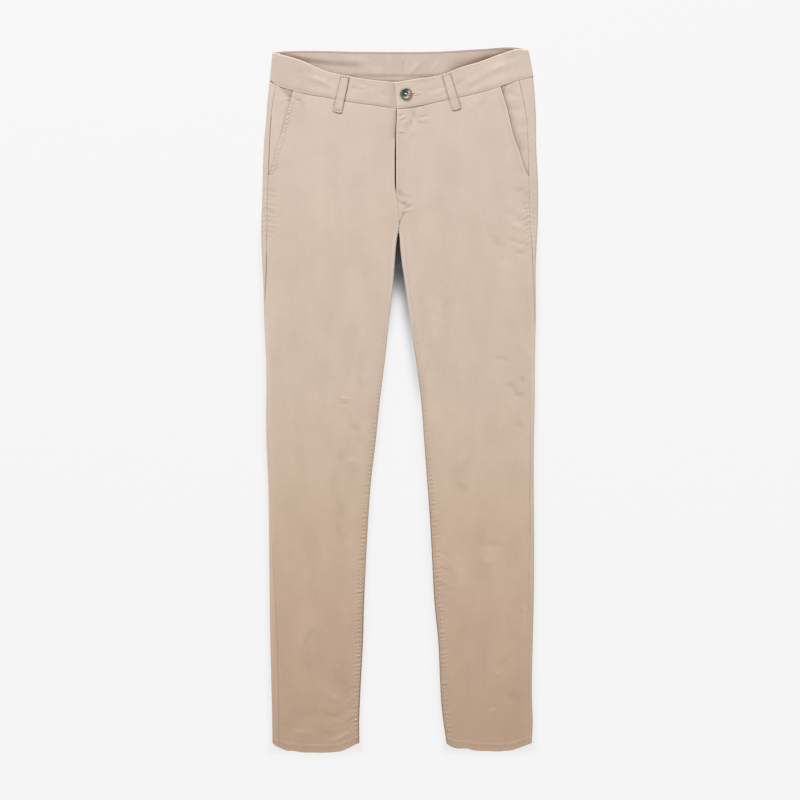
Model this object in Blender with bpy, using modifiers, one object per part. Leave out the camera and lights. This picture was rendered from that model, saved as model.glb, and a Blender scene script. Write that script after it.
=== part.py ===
"""Slim chino trousers lying flat with the front up, each cut piece a closed solid.

The pattern is worked out in millimetres: x towards the wearer's left, y towards the
waist from halfway down the garment, z up from the surface it lies on. Each leg is a
flattened tube. A section of it has an outer and an inner edge, where the cloth folds
over, and the seams lie a stated inset from those edges, on the upper side.
"""

import math
from typing import NamedTuple

import bpy
import numpy as np
from mathutils import Matrix

MM = 0.001

# Cloth, seams and the height of the layers, in millimetres.
CLOTH = 1.2
BAND_CLOTH = 1.8
LOOP_CLOTH = 1.1
LINING_CLOTH = 1.0
SEAM_GAP = 0.3
EDGE_HEIGHT = 4.6
DOME = 1.2
DOME_REACH = 42.0
HEM_RISE = 0.5
HEM = -513.5
HEM_TOP = -504.0
HEM_WARP_END = -440.0
EDGE_STEPS = (0.0, 0.3, 3.0, 12.0)

# The waist: heights of the band, its loops and the layers inside it.
BAND_RISE = 0.8
BAND_FLOOR = LOOP_CLOTH + SEAM_GAP
BAND_FLOOR_REACH = 44.0
LOOP_WIDTH = 12.5
LOOP_DROP = 17.0
LOOP_ARCH = 0.8
MOUTH_LIFT = 1.0
MOUTH_HALF_WIDTH = 150.0
UNDERLAP_END = 24.0
UNDERLAP_DROP = 1.1
OVERLAP_LIFT = 1.0
LINING_HALF_WIDTH = 156.0
WAIST = 480.0
WAIST_WARP_START = 372.0

# The fly, the pockets and the fork where the legs part.
FLY_LIFT = 0.8
FLY_GAPE = 1.7
FLY_END = 316.0
SHIELD_HALF_WIDTH = 21.0
POCKET_LIFT = 0.8
POCKET_TUCK = 12.0
POCKET_END = 339.0
FORK_X = -2.0
FORK_Y = 253.2
CROSS_INSET = 13.0

# The button over the wearer's left band end.
BUTTON_X = 9.0
BUTTON_Y = 460.0
BUTTON_SIDES = 32
HOLE_RADIUS = 1.0
HOLE_SPACING = 3.6


def smoothstep(value):
    """Ease from 0 to 1 as value goes from 0 to 1."""
    t = min(max(value, 0.0), 1.0)
    return t * t * (3.0 - 2.0 * t)


class Curve:
    """A smooth line through the (at, value) rows of a short table."""

    def __init__(self, *rows):
        ordered = sorted(rows)
        self.at = np.array([row[0] for row in ordered], float)
        self.value = np.array([row[1] for row in ordered], float)
        self.slope = np.gradient(self.value, self.at)

    def __call__(self, at):
        i = int(np.clip(np.searchsorted(self.at, at) - 1, 0, len(self.at) - 2))
        span = self.at[i + 1] - self.at[i]
        t = min(max((at - self.at[i]) / span, 0.0), 1.0)
        rise = self.value[i] * (1.0 + 2.0 * t) * (1.0 - t) ** 2
        rise += self.value[i + 1] * t * t * (3.0 - 2.0 * t)
        rise += self.slope[i] * span * t * (1.0 - t) ** 2
        rise -= self.slope[i + 1] * span * t * t * (1.0 - t)
        return float(rise)


class Fork(NamedTuple):
    """A section near the fork, where the inner edge turns to face the hem."""

    y: float
    edge: tuple
    facing: tuple
    inset: float


class Leg(NamedTuple):
    """The wearer's right (sign -1) or left (sign 1) half, as curves of x or inset by y."""

    side: str
    sign: int
    outer: Curve
    inner: Curve
    side_seam: Curve
    pocket: Curve
    inseam: Curve
    fork: tuple
    hem_sag: float
    band_seam: Curve
    band_top: Curve
    fold_low: tuple
    fold_top: tuple


class Fold(NamedTuple):
    """A soft ridge (height over 0) or trough of the upper cloth, and which way it runs."""

    x: float
    y: float
    turn: float
    length: float
    width: float
    height: float


RIGHT = Leg(
    side="right",
    sign=-1,
    outer=Curve(
        (-512, -191.5), (-480, -191.9), (-420, -193.3), (-360, -194.8), (-240, -196.2), (-120, -198.0),
        (-60, -200.7), (60, -201.0), (120, -203.8), (180, -205.4), (240, -208.2), (270, -208.2),
        (300, -207.0), (360, -205.4), (390, -204.0), (420, -201.2), (450, -199.0), (480, -196.0),
    ),
    inner=Curve(
        (-512, -61.0), (-480, -61.2), (-450, -60.0), (-420, -58.6), (-360, -55.5), (-300, -53.8),
        (-240, -51.0), (-180, -47.8), (-120, -43.5), (-60, -36.4), (0, -30.2), (60, -22.8),
        (120, -16.4), (180, -9.6), (210, -7.2), (233, -5.5), (254, -2.6),
    ),
    side_seam=Curve(
        (-512, 10.0), (-310, 9.6), (-270, 7.5), (-205, 4.5), (-20, 3.0), (60, 1.0), (120, 0.8),
        (155, 2.2), (215, 7.0), (270, 9.0), (300, 8.2), (350, 8.7), (375, 9.0), (420, 7.6), (480, 10.5),
    ),
    pocket=Curve((337, 9.0), (356, 15.6), (377, 20.0), (397, 24.7), (423, 28.5), (449, 33.6), (465, 35.5), (480, 38.0)),
    inseam=Curve((-512, 4.0), (-450, 4.2), (-290, 6.0), (-134, 3.0), (-40, 3.4), (60, 4.2), (150, 5.0), (200, 6.0), (233, 7.0)),
    fork=(
        Fork(y=233.0, edge=(-5.5, 233.0), facing=(1.0, -0.08), inset=7.0),
        Fork(y=245.0, edge=(-3.9, 245.5), facing=(0.6, -0.8), inset=8.0),
        Fork(y=250.0, edge=(-3.1, 250.3), facing=(0.3, -0.95), inset=10.5),
        Fork(y=253.2, edge=(-2.15, 253.2), facing=(-0.1, -0.995), inset=CROSS_INSET),
    ),
    hem_sag=13.5,
    band_seam=Curve(
        (-195, 479.6), (-185, 473.0), (-163, 465.5), (-98, 452.6), (-83, 449.5), (-40, 443.5),
        (-16, 440.0), (-4.5, 438.4), (2.3, 439.0), (24, 442.5),
    ),
    band_top=Curve(
        (-191.5, 522.5), (-152, 512.0), (-109.5, 494.0), (-81, 487.4), (-38, 480.5), (-8, 478.6), (24, 481.0),
    ),
    fold_low=(-195.6, 479.9),
    fold_top=(-191.5, 522.5),
)
LEFT = Leg(
    side="left",
    sign=1,
    outer=Curve(
        (-512, 198.0), (-480, 199.3), (-450, 198.2), (-360, 199.3), (-300, 200.8), (-60, 201.0),
        (0, 202.2), (60, 202.4), (120, 203.8), (210, 204.0), (240, 205.4), (270, 207.0), (330, 207.0),
        (390, 204.2), (420, 204.0), (450, 202.4), (480, 199.7),
    ),
    inner=Curve(
        (-512, 69.6), (-480, 64.8), (-450, 61.6), (-420, 60.0), (-360, 57.2), (-300, 51.4), (-240, 48.2),
        (-180, 45.0), (-120, 40.6), (-60, 36.2), (0, 31.6), (60, 24.0), (120, 15.2), (180, 6.2),
        (210, 1.8), (233, -0.4), (254, -1.6),
    ),
    side_seam=Curve(
        (-512, 5.2), (-390, 4.9), (-315, 5.4), (-272, 8.0), (-200, 6.0), (-150, 6.0), (-85, 5.3),
        (-20, 6.4), (6, 7.6), (54, 7.0), (87, 4.0), (110, 2.5), (185, 3.6), (230, 6.6), (273, 12.3),
        (333, 13.2), (377, 12.2), (411, 13.4), (446, 16.5), (480, 21.0),
    ),
    pocket=Curve((334, 13.4), (345, 17.6), (377, 26.4), (402, 34.7), (437, 42.0), (470, 48.6), (480, 50.5)),
    inseam=Curve((-512, 4.5), (-390, 5.5), (-290, 7.0), (-218, 6.0), (-125, 5.5), (-64, 3.8), (60, 4.5), (150, 5.0), (233, 7.0)),
    fork=(
        Fork(y=233.0, edge=(-0.4, 233.0), facing=(-1.0, -0.08), inset=7.0),
        Fork(y=245.0, edge=(-1.0, 245.5), facing=(-0.6, -0.8), inset=8.0),
        Fork(y=250.0, edge=(-1.4, 250.3), facing=(-0.3, -0.95), inset=10.5),
        Fork(y=253.2, edge=(-1.85, 253.2), facing=(-0.1, -0.995), inset=CROSS_INSET),
    ),
    hem_sag=11.5,
    band_seam=Curve(
        (-9, 437.4), (2.3, 438.5), (40, 444.5), (74, 452.0), (88.5, 455.0), (151, 471.5), (178, 480.5), (200, 486.2),
    ),
    band_top=Curve(
        (-7.5, 477.0), (20, 482.0), (62, 488.9), (91, 500.0), (121, 509.0), (149, 519.5), (176, 527.4), (192.6, 526.5),
    ),
    fold_low=(200.2, 486.3),
    fold_top=(192.6, 526.5),
)
LEGS = (RIGHT, LEFT)

# The back of the waist, the centre back seam and the overlapping edge of the fly.
BACK_SEAM = Curve((-196, 479.7), (-120, 483.0), (0, 483.5), (120, 484.0), (201, 486.3))
BACK_TOP = Curve((-192, 522.5), (-158, 523.2), (-50, 521.9), (62, 522.4), (121, 526.0), (175, 528.2), (193, 526.5))
CENTRE_BACK = Curve((253, -2.0), (330, 0.0), (400, 2.5), (484, 5.0), (525, 6.0))
FLY_EDGE = Curve(
    (266, -0.75), (290, -3.0), (300, -3.75), (316, -5.6), (348, -6.3), (390, -5.7), (407, -4.95), (437, -3.9),
)

# Heights of the section rows, up a leg and up the hips.
LEG_ROWS = (
    HEM, HEM_TOP, -502.5, -488.0, -470.0, -450.0, -428.0, -405.0, -380.0, -355.0, -330.0, -305.0, -280.0,
    -255.0, -230.0, -205.0, -180.0, -155.0, -130.0, -105.0, -80.0, -55.0, -30.0, -5.0, 20.0, 45.0,
    70.0, 95.0, 120.0, 145.0, 170.0, 190.0, 210.0,
)
HIP_ROWS = (274.0, 296.0, 318.0, POCKET_END, 346.0, 372.0, 398.0, 424.0, 447.0, 464.0, WAIST)

# The largest soft folds of the upper cloth.
FOLDS = (
    Fold(x=-70.0, y=-40.0, turn=-62.0, length=75.0, width=11.0, height=-0.9),
    Fold(x=-58.0, y=-92.0, turn=-20.0, length=40.0, width=16.0, height=0.4),
    Fold(x=-96.0, y=-190.0, turn=-88.0, length=110.0, width=15.0, height=-0.8),
    Fold(x=-72.0, y=-168.0, turn=-75.0, length=40.0, width=13.0, height=0.4),
    Fold(x=-139.0, y=-350.0, turn=66.0, length=90.0, width=16.0, height=0.5),
    Fold(x=-137.0, y=-355.0, turn=66.0, length=60.0, width=12.0, height=-0.7),
    Fold(x=-87.0, y=-318.0, turn=-58.0, length=60.0, width=12.0, height=0.4),
    Fold(x=-104.0, y=-441.0, turn=-42.0, length=85.0, width=15.0, height=0.5),
    Fold(x=-88.0, y=-432.0, turn=-25.0, length=45.0, width=12.0, height=-0.9),
    Fold(x=-166.0, y=-490.0, turn=20.0, length=50.0, width=12.0, height=-0.9),
    Fold(x=66.0, y=110.0, turn=-85.0, length=190.0, width=14.0, height=-0.7),
    Fold(x=46.0, y=95.0, turn=-92.0, length=120.0, width=12.0, height=0.4),
    Fold(x=143.0, y=233.0, turn=-66.0, length=80.0, width=12.0, height=-0.8),
    Fold(x=174.0, y=238.0, turn=-8.0, length=40.0, width=10.0, height=-0.9),
    Fold(x=148.0, y=58.0, turn=2.0, length=40.0, width=10.0, height=-0.7),
    Fold(x=173.0, y=10.0, turn=-50.0, length=45.0, width=11.0, height=-0.9),
    Fold(x=90.0, y=-128.0, turn=-80.0, length=55.0, width=13.0, height=-0.8),
    Fold(x=122.0, y=-205.0, turn=-12.0, length=60.0, width=15.0, height=-0.9),
    Fold(x=142.0, y=-410.0, turn=60.0, length=60.0, width=14.0, height=0.4),
    Fold(x=176.0, y=-440.0, turn=-70.0, length=60.0, width=13.0, height=-0.7),
    Fold(x=12.0, y=418.0, turn=42.0, length=55.0, width=9.0, height=-0.6),
    Fold(x=60.0, y=425.0, turn=35.0, length=60.0, width=12.0, height=0.3),
)


# ---------------------------------------------------------------- heights


def floor_height(y):
    """Height of the cloth's underside: it rises near the waist to clear the back loops."""
    return BAND_FLOOR * smoothstep((y - (WAIST - BAND_FLOOR_REACH)) / 20.0)


def edge_distance(leg, x, y):
    """How far a point of the upper cloth is from the nearest folded edge."""
    outer = abs(x - leg.outer(y))
    if y < FORK_Y:
        return min(outer, abs(x - leg.inner(y)))
    return min(outer, math.hypot(x - FORK_X, y - FORK_Y))


def fold_height(x, y):
    """Height of the soft folds at a point."""
    total = 0.0
    for fold in FOLDS:
        turn = math.radians(fold.turn)
        along = (x - fold.x) * math.cos(turn) + (y - fold.y) * math.sin(turn)
        across = -(x - fold.x) * math.sin(turn) + (y - fold.y) * math.cos(turn)
        reach = smoothstep(1.0 - abs(along) / fold.length)
        total += fold.height * reach * math.exp(-((across / fold.width) ** 2))
    return total


def cloth_height(leg, x, y):
    """Height of the upper face of the front cloth, without its raised seams."""
    inland = smoothstep((edge_distance(leg, x, y) - 2.0) / DOME_REACH)
    folds = fold_height(x, y) * smoothstep((edge_distance(leg, x, y) - 4.0) / 12.0)
    return EDGE_HEIGHT + DOME * inland + folds


def pocket_lift(leg, x, y):
    """How far the slant pocket's edge stands up, fading away from the edge."""
    inset = abs(leg.outer(y) - x) - leg.pocket(y)
    fade = smoothstep((y - POCKET_END) / 22.0)
    return POCKET_LIFT * fade * (1.0 - smoothstep(inset / 24.0))


def fly_lift(x, y):
    """How far the wearer's left front stands up along the fly."""
    fade = smoothstep((y - 300.0) / 25.0)
    return FLY_LIFT * fade * (1.0 - smoothstep((x - FLY_EDGE(y)) / 26.0))


def front_height(leg, x, y):
    """Height of the upper face of a front panel, with its pocket edge, fly and hem."""
    height = cloth_height(leg, x, y)
    if y > POCKET_END:
        height += pocket_lift(leg, x, y)
    if leg is LEFT and y > 300.0:
        height += fly_lift(x, y)
    return height


def fly_gap(y):
    """Width of the gap between the fronts: a seam below the fly, wider along it."""
    return SEAM_GAP + FLY_GAPE * smoothstep((y - 302.0) / 18.0) - 1.0 * smoothstep((y - 405.0) / 30.0)


def band_height(leg, x, y, up):
    """Height of the front band; up goes from 0 at its seam to 1 at its top edge."""
    mouth = 1.0 - smoothstep((abs(x) - 70.0) / (MOUTH_HALF_WIDTH - 70.0))
    inland = smoothstep((edge_distance(leg, x, min(y, WAIST)) - 2.0) / DOME_REACH)
    height = EDGE_HEIGHT + BAND_RISE + DOME * inland + MOUTH_LIFT * mouth * up * up
    if leg is RIGHT:
        return height - UNDERLAP_DROP * smoothstep((x + 17.0) / 9.0)
    return height + OVERLAP_LIFT * (1.0 - smoothstep((x - UNDERLAP_END + 2.0) / 30.0))


# ---------------------------------------------------------------- sections


def level(leg, x, y, over):
    """True y of a point on a section row, as rows bend to meet the waist seam and the hem."""
    if y > WAIST_WARP_START:
        seam = leg.band_seam(x) if over else BACK_SEAM(x)
        return y + (seam - SEAM_GAP - WAIST) * smoothstep((y - WAIST_WARP_START) / (WAIST - WAIST_WARP_START))
    if y < HEM_WARP_END:
        across = (x - leg.outer(y)) / (leg.inner(y) - leg.outer(y))
        sag = 1.0 - abs(2.0 * min(max(across, 0.0), 1.0) - 1.0) ** 4
        return y - leg.hem_sag * sag * smoothstep((HEM_WARP_END - y) / (HEM_WARP_END - HEM))
    return y


def arc_to(inset, radius):
    """Length along the folded cloth from its edge to a seam this far inset on the upper side."""
    if inset >= radius:
        return inset - radius + radius * math.pi / 2.0
    return radius * math.acos(1.0 - max(inset, 0.0) / radius)


def fold_point(leg, edge, facing, along, y):
    """A point of the cloth, this far along it from a folded edge: over it, or under if negative."""
    floor = floor_height(y)
    radius = (EDGE_HEIGHT - floor) / 2.0
    quarter = radius * math.pi / 2.0
    turn = min(max(along / radius, -math.pi / 2.0), math.pi / 2.0)
    inset = radius * (1.0 - math.cos(turn)) + max(abs(along) - quarter, 0.0)
    x = edge[0] - facing[0] * inset
    true_y = level(leg, x, edge[1] - facing[1] * inset, along >= 0.0)
    height = floor + radius * (1.0 + math.sin(turn))
    if along > quarter:
        height = cloth_height(leg, x, true_y)
    return (x, true_y, height + hem_rise(y, along))


def hem_rise(y, along):
    """The turned-up hem stands a little proud, except where it rests on the surface."""
    return HEM_RISE if y <= HEM_TOP and along > 0.0 else 0.0


def outer_fold(leg, y):
    """Edge point, facing and seam length of a section's outer fold."""
    radius = (EDGE_HEIGHT - floor_height(y)) / 2.0
    inset = leg.side_seam(y)
    for _ in range(4):
        inset = leg.side_seam(level(leg, leg.outer(y) - leg.sign * inset, y, True))
    return (leg.outer(y), y), (leg.sign, 0.0), arc_to(inset, radius)


def inner_fold(leg, y):
    """Edge point, facing and seam length of a section's inner fold, below the fork."""
    radius = EDGE_HEIGHT / 2.0
    for fork in leg.fork:
        if y == fork.y:
            return fork.edge, fork.facing, arc_to(fork.inset, radius)
    return (leg.inner(y), y), (-leg.sign, 0.0), arc_to(leg.inseam(y), radius)


def rounding(seam, radius):
    """Lengths along the cloth that draw a folded edge, from its seam on top to the flat underside."""
    quarter = radius * math.pi / 2.0
    steps = (quarter, quarter * 0.5, 0.0, -quarter * 0.5, -quarter)
    lengths = [seam - SEAM_GAP / 2.0]
    for step in steps:
        lengths.append(min(step, lengths[-1] - 0.2))
    return lengths


def back_section(leg, y):
    """Points of a back panel's section, from the side seam round the folds to its last seam."""
    radius = (EDGE_HEIGHT - floor_height(y)) / 2.0
    edge, facing, seam = outer_fold(leg, y)
    outer = [fold_point(leg, edge, facing, along, y) for along in rounding(seam, radius)]
    if y > FORK_Y:
        end_x = CENTRE_BACK(y) + leg.sign * SEAM_GAP / 2.0
        inner = [(end_x, level(leg, end_x, y, False), floor_height(y))]
    else:
        edge, facing, seam = inner_fold(leg, y)
        inner = [fold_point(leg, edge, facing, along, y) for along in reversed(rounding(seam, radius))]
    return outer + between(leg, outer[-1], inner[0], y) + inner


def between(leg, start, end, y):
    """Points on the flat underside between the folds."""
    points = []
    for share in (0.12, 0.36, 0.64, 0.88):
        x = start[0] + (end[0] - start[0]) * share
        line_y = start[1] + (end[1] - start[1]) * share
        true_y = level(leg, x, y, False) if abs(y) > 260.0 else line_y
        points.append((x, true_y, floor_height(y)))
    return points


def front_start(leg, y):
    """Plan point where a front panel's section starts: the inseam, or the centre line above it."""
    if y > FORK_Y:
        gap = SEAM_GAP / 2.0 if leg is LEFT else SEAM_GAP / 2.0 - fly_gap(level(leg, -4.0, y, True))
        true_y = level(leg, -4.0, y, True)
        return (FLY_EDGE(true_y) + gap, y)
    edge, facing, seam = inner_fold(leg, y)
    inset = seam - arc_to(EDGE_HEIGHT / 2.0, EDGE_HEIGHT / 2.0) + EDGE_HEIGHT / 2.0
    inset += SEAM_GAP / 2.0
    return (edge[0] - facing[0] * inset, edge[1] - facing[1] * inset)


def front_outer(leg, y):
    """Points of a front panel near its outer seam, or near the slant pocket edge above it."""
    if y < POCKET_END:
        edge, facing, seam = outer_fold(leg, y)
        seam += SEAM_GAP / 2.0
        return [fold_point(leg, edge, facing, seam + step, y) for step in EDGE_STEPS]
    points = []
    for step in EDGE_STEPS:
        x = leg.outer(y) - leg.sign * (leg.pocket(y) + step)
        for _ in range(3):
            true_y = level(leg, x, y, True)
            x = leg.outer(y) - leg.sign * (leg.pocket(true_y) + step)
        points.append((x, true_y, front_height(leg, x, true_y)))
    return points


def front_section(leg, y):
    """Points of a front panel's section, from its centre or inseam edge to its outer edge."""
    start = front_start(leg, y)
    outer = front_outer(leg, y)
    span = abs(outer[-1][0] - start[0])
    shares = [0.0, 2.0 / span, 6.5 / span, 0.16, 0.31, 0.46, 0.61, 0.75, 0.88]
    points = []
    for share in shares:
        x = start[0] + (outer[-1][0] - start[0]) * share
        slant = (start[1] - y) * (1.0 - share) ** 2
        true_y = level(leg, x, y, True) + slant
        points.append((x, true_y, front_height(leg, x, true_y) + hem_rise(y, 1.0)))
    return points + outer[::-1]


# ---------------------------------------------------------------- meshes


def collection(name, hidden=False):
    made = bpy.data.collections.new(name)
    made.hide_render = hidden
    bpy.context.scene.collection.children.link(made)
    return made


def finish(name, color, roughness):
    material = bpy.data.materials.new(name)
    material.use_nodes = True
    shader = material.node_tree.nodes["Principled BSDF"]
    shader.inputs["Base Color"].default_value = (*color, 1.0)
    shader.inputs["Roughness"].default_value = roughness
    return material


def add_mesh(name, points, faces, material, home):
    """An object whose mesh is given in millimetres."""
    mesh = bpy.data.meshes.new(name)
    mesh.from_pydata([(x * MM, y * MM, z * MM) for x, y, z in points], [], faces)
    mesh.materials.append(material)
    mesh.polygons.foreach_set("use_smooth", [True] * len(mesh.polygons))
    made = bpy.data.objects.new(name, mesh)
    home.objects.link(made)
    return made


def add_sheet(name, sections, thickness, color, home, turned=False):
    """A cloth wall through sections of its outer face, thickened inwards.

    A section may be shorter than the one before it: faces are made where both have points.
    """
    starts = np.cumsum([0] + [len(section) for section in sections])
    points = [point for section in sections for point in section]
    faces = []
    for row in range(len(sections) - 1):
        for column in range(min(len(sections[row]), len(sections[row + 1])) - 1):
            low = int(starts[row]) + column
            high = int(starts[row + 1]) + column
            quad = (low, low + 1, high + 1, high)
            faces.append(quad[::-1] if turned else quad)
    made = add_mesh(name, points, faces, finish(name + "_cloth", color, 0.85), home)
    solid = made.modifiers.new("wall", "SOLIDIFY")
    solid.thickness = thickness * MM
    solid.offset = -1.0
    solid.use_even_offset = True
    solid.use_quality_normals = True
    made.data.set_sharp_from_angle(angle=math.radians(40.0))
    return made


# ---------------------------------------------------------------- pieces


def add_front(leg, home):
    rows = LEG_ROWS + tuple(fork.y for fork in leg.fork) + HIP_ROWS
    sections = [front_section(leg, y) for y in rows]
    return add_sheet("front_" + leg.side, sections, CLOTH, (0.66, 0.53, 0.43), home, leg is RIGHT)


def add_back(leg, home):
    rows = LEG_ROWS + tuple(fork.y for fork in leg.fork) + HIP_ROWS
    sections = [back_section(leg, y) for y in rows]
    return add_sheet("back_" + leg.side, sections, CLOTH, (0.58, 0.46, 0.37), home, leg is RIGHT)


def add_facing(leg, home):
    """The hip panel under the slant pocket edge, flush with the back panel at the side seam."""
    sections = []
    for y in [row for row in HIP_ROWS if row >= POCKET_END]:
        section = []
        for share in (-1.0, -0.5, 0.0, 0.35, 0.7, 1.0):
            x = leg.outer(y)
            true_y = y
            for _ in range(4):
                seam = leg.side_seam(true_y) + SEAM_GAP / 2.0
                slant = leg.pocket(true_y)
                inset = slant - POCKET_TUCK * share if share < 0.0 else slant + (seam - slant) * share
                x = leg.outer(y) - leg.sign * inset
                true_y = level(leg, x, y, True)
            flush = smoothstep(share) * smoothstep((y - POCKET_END) / 30.0)
            drop = (CLOTH + SEAM_GAP) * (1.0 - flush)
            lift = pocket_lift(leg, x, true_y) * (1.0 - flush)
            section.append((x, true_y, cloth_height(leg, x, true_y) + lift - drop))
        sections.append(section)
    return add_sheet("pocket_facing_" + leg.side, sections, CLOTH, (0.5, 0.4, 0.32), home, leg is RIGHT)


def add_shield(home):
    """The strip behind the fly, just under both fronts."""
    sections = []
    for y in np.linspace(FLY_END - 14.0, 432.0, 9):
        section = []
        for x in np.linspace(-SHIELD_HALF_WIDTH, SHIELD_HALF_WIDTH, 5) - 4.0:
            leg = RIGHT if x < FLY_EDGE(y) else LEFT
            section.append((float(x), float(y), cloth_height(leg, x, y) - CLOTH - SEAM_GAP))
        sections.append(section)
    return add_sheet("fly_shield", sections, CLOTH, (0.35, 0.28, 0.23), home)


def band_plan(leg, share, up):
    """Plan point of the front band: share from its front end to the side fold, up its height."""
    start = UNDERLAP_END if leg is RIGHT else -4.1 - 3.4 * up
    fold_x = leg.fold_low[0] + (leg.fold_top[0] - leg.fold_low[0]) * up - leg.sign * 9.0
    x = start + (fold_x - start) * share
    low = leg.band_seam(x)
    return x, low + (leg.band_top(x) - low) * up


def band_section(leg, up):
    """Points of the band at one height: front end, side fold, centre back."""
    radius = (EDGE_HEIGHT + BAND_RISE - BAND_FLOOR) / 2.0
    shares = (0.0, 0.06, 0.1, 0.14, 0.18, 0.25, 0.34, 0.43, 0.52, 0.62, 0.72, 0.82, 0.92, 1.0)
    points = []
    for share in shares:
        x, y = band_plan(leg, share, up)
        points.append((x, y, band_height(leg, x, y, up)))
    edge_x = leg.fold_low[0] + (leg.fold_top[0] - leg.fold_low[0]) * up
    edge_y = leg.fold_low[1] + (leg.fold_top[1] - leg.fold_low[1]) * up
    for turn in (90.0, 55.0, 20.0, -20.0, -55.0, -90.0):
        angle = math.radians(turn)
        x = edge_x - leg.sign * radius * (1.0 - math.cos(angle))
        points.append((x, edge_y, BAND_FLOOR + radius * (1.0 + math.sin(angle))))
    start = points[-1][0]
    end = CENTRE_BACK(500.0) + leg.sign * SEAM_GAP / 2.0
    for share in (0.12, 0.3, 0.5, 0.75, 1.0):
        x = start + (end - start) * share
        low = BACK_SEAM(x)
        y = low + (BACK_TOP(x) - low) * up
        points.append((x, y, BAND_FLOOR))
    return points


def add_band(leg, home):
    sections = [band_section(leg, up) for up in (0.0, 0.33, 0.66, 0.9, 1.0)]
    return add_sheet("waistband_" + leg.side, sections, BAND_CLOTH, (0.68, 0.55, 0.45), home, leg is RIGHT)


def add_lining(home):
    """The inner face of the back band, where the open waist shows it."""
    sections = []
    height = BAND_FLOOR + BAND_CLOTH + SEAM_GAP + LINING_CLOTH
    for x in np.linspace(-LINING_HALF_WIDTH, LINING_HALF_WIDTH, 11):
        low = BACK_SEAM(x) - 4.0
        high = BACK_TOP(x) - 2.5
        sections.append([(float(x), low + (high - low) * up, height) for up in (0.0, 0.5, 1.0)])
    return add_sheet("waistband_lining", sections, LINING_CLOTH, (0.55, 0.43, 0.35), home, True)


def front_face(leg, x, y):
    """Height of whatever a front loop lies on: the band, or the panel below it."""
    low = leg.band_seam(x)
    if y > low - SEAM_GAP - 1.0:
        up = min(max((y - low) / (leg.band_top(x) - low), 0.0), 1.0)
        return band_height(leg, x, y, up)
    return front_height(leg, x, y)


def add_front_loop(leg, name, top, foot, home):
    """A belt loop from the band's top edge to below its seam, between two plan points."""
    run = math.hypot(foot[0] - top[0], foot[1] - top[1])
    aside = ((top[1] - foot[1]) / run, (foot[0] - top[0]) / run)
    sections = []
    for share in (0.0, 0.2, 0.45, 0.68, 0.78, 0.88, 1.0):
        x = top[0] + (foot[0] - top[0]) * share
        y = top[1] + (foot[1] - top[1]) * share
        half = LOOP_WIDTH / 2.0 + 0.4 * share
        arch = LOOP_ARCH * math.sin(math.pi * min(share / 0.9, 1.0)) ** 0.8
        edges = [(x + aside[0] * half * side, y + aside[1] * half * side) for side in (-1, 0, 1)]
        height = max(front_face(leg, *edge) for edge in edges)
        z = height + SEAM_GAP + LOOP_CLOTH + arch
        sections.append([(*edges[0], z), (*edges[1], z + 0.15), (*edges[2], z)])
    return add_sheet(name, sections, LOOP_CLOTH, (0.62, 0.5, 0.4), home, True)


def add_back_loop(name, x, home):
    """A belt loop pressed flat between the band and the surface."""
    high = BACK_TOP(x) - 0.5
    low = BACK_SEAM(x) - LOOP_DROP
    half = LOOP_WIDTH / 2.0
    sections = []
    for share in (0.0, 0.5, 1.0):
        y = low + (high - low) * share
        sections.append([(x - half, y, 0.0), (x, y, 0.0), (x + half, y, 0.0)])
    return add_sheet(name, sections, LOOP_CLOTH, (0.62, 0.5, 0.4), home, True)


def add_button(home, cutters):
    """A two-hole button with a rounded rim round a shallow dish."""
    profile = (
        (0.0, 0.0), (7.0, 0.0), (8.4, 0.5), (9.0, 1.4), (8.9, 2.3), (8.2, 3.0), (7.2, 3.1),
        (6.3, 2.6), (5.6, 1.9), (0.0, 1.7),
    )
    points = [(BUTTON_X, BUTTON_Y, 0.0), (BUTTON_X, BUTTON_Y, profile[-1][1])]
    rings = profile[1:-1]
    base = band_height(LEFT, BUTTON_X, BUTTON_Y, 0.6) + 1.0
    for radius, height in rings:
        for step in range(BUTTON_SIDES):
            angle = math.tau * step / BUTTON_SIDES
            points.append((BUTTON_X + radius * math.cos(angle), BUTTON_Y + radius * math.sin(angle), height))
    points = [(x, y, z + base) for x, y, z in points]
    faces = []
    for step in range(BUTTON_SIDES):
        after = (step + 1) % BUTTON_SIDES
        faces.append((0, 2 + after, 2 + step))
        for ring in range(len(rings) - 1):
            low = 2 + ring * BUTTON_SIDES
            high = low + BUTTON_SIDES
            faces.append((low + step, low + after, high + after, high + step))
        last = 2 + (len(rings) - 1) * BUTTON_SIDES
        faces.append((last + step, last + after, 1))
    button = add_mesh("button", points, faces, finish("button_resin", (0.04, 0.16, 0.15), 0.35), home)
    for index, side in enumerate((-1, 1)):
        bpy.ops.mesh.primitive_cylinder_add(
            vertices=12,
            radius=HOLE_RADIUS * MM,
            depth=0.02,
            location=((BUTTON_X + side * HOLE_SPACING / 2.0) * MM, BUTTON_Y * MM, base * MM),
        )
        cutter = bpy.context.active_object
        cutter.name = f"hole_cutter_{index}"
        for holder in list(cutter.users_collection):
            holder.objects.unlink(cutter)
        cutters.objects.link(cutter)
        cutter.hide_render = True
        cutter.display_type = "WIRE"
        cut = button.modifiers.new(f"hole_{index}", "BOOLEAN")
        cut.operation = "DIFFERENCE"
        cut.solver = "EXACT"
        cut.object = cutter
    return button


def centre(home, cutters):
    """Move everything in plan so that the garment's box is centred on the origin."""
    spots = [vertex.co for piece in home.objects for vertex in piece.data.vertices]
    low = np.min(spots, axis=0)
    high = np.max(spots, axis=0)
    shift = Matrix.Translation((-(low[0] + high[0]) / 2.0, -(low[1] + high[1]) / 2.0, 0.0))
    for piece in home.objects:
        piece.data.transform(shift)
    for cutter in cutters.objects:
        cutter.location = shift @ cutter.location


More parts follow.
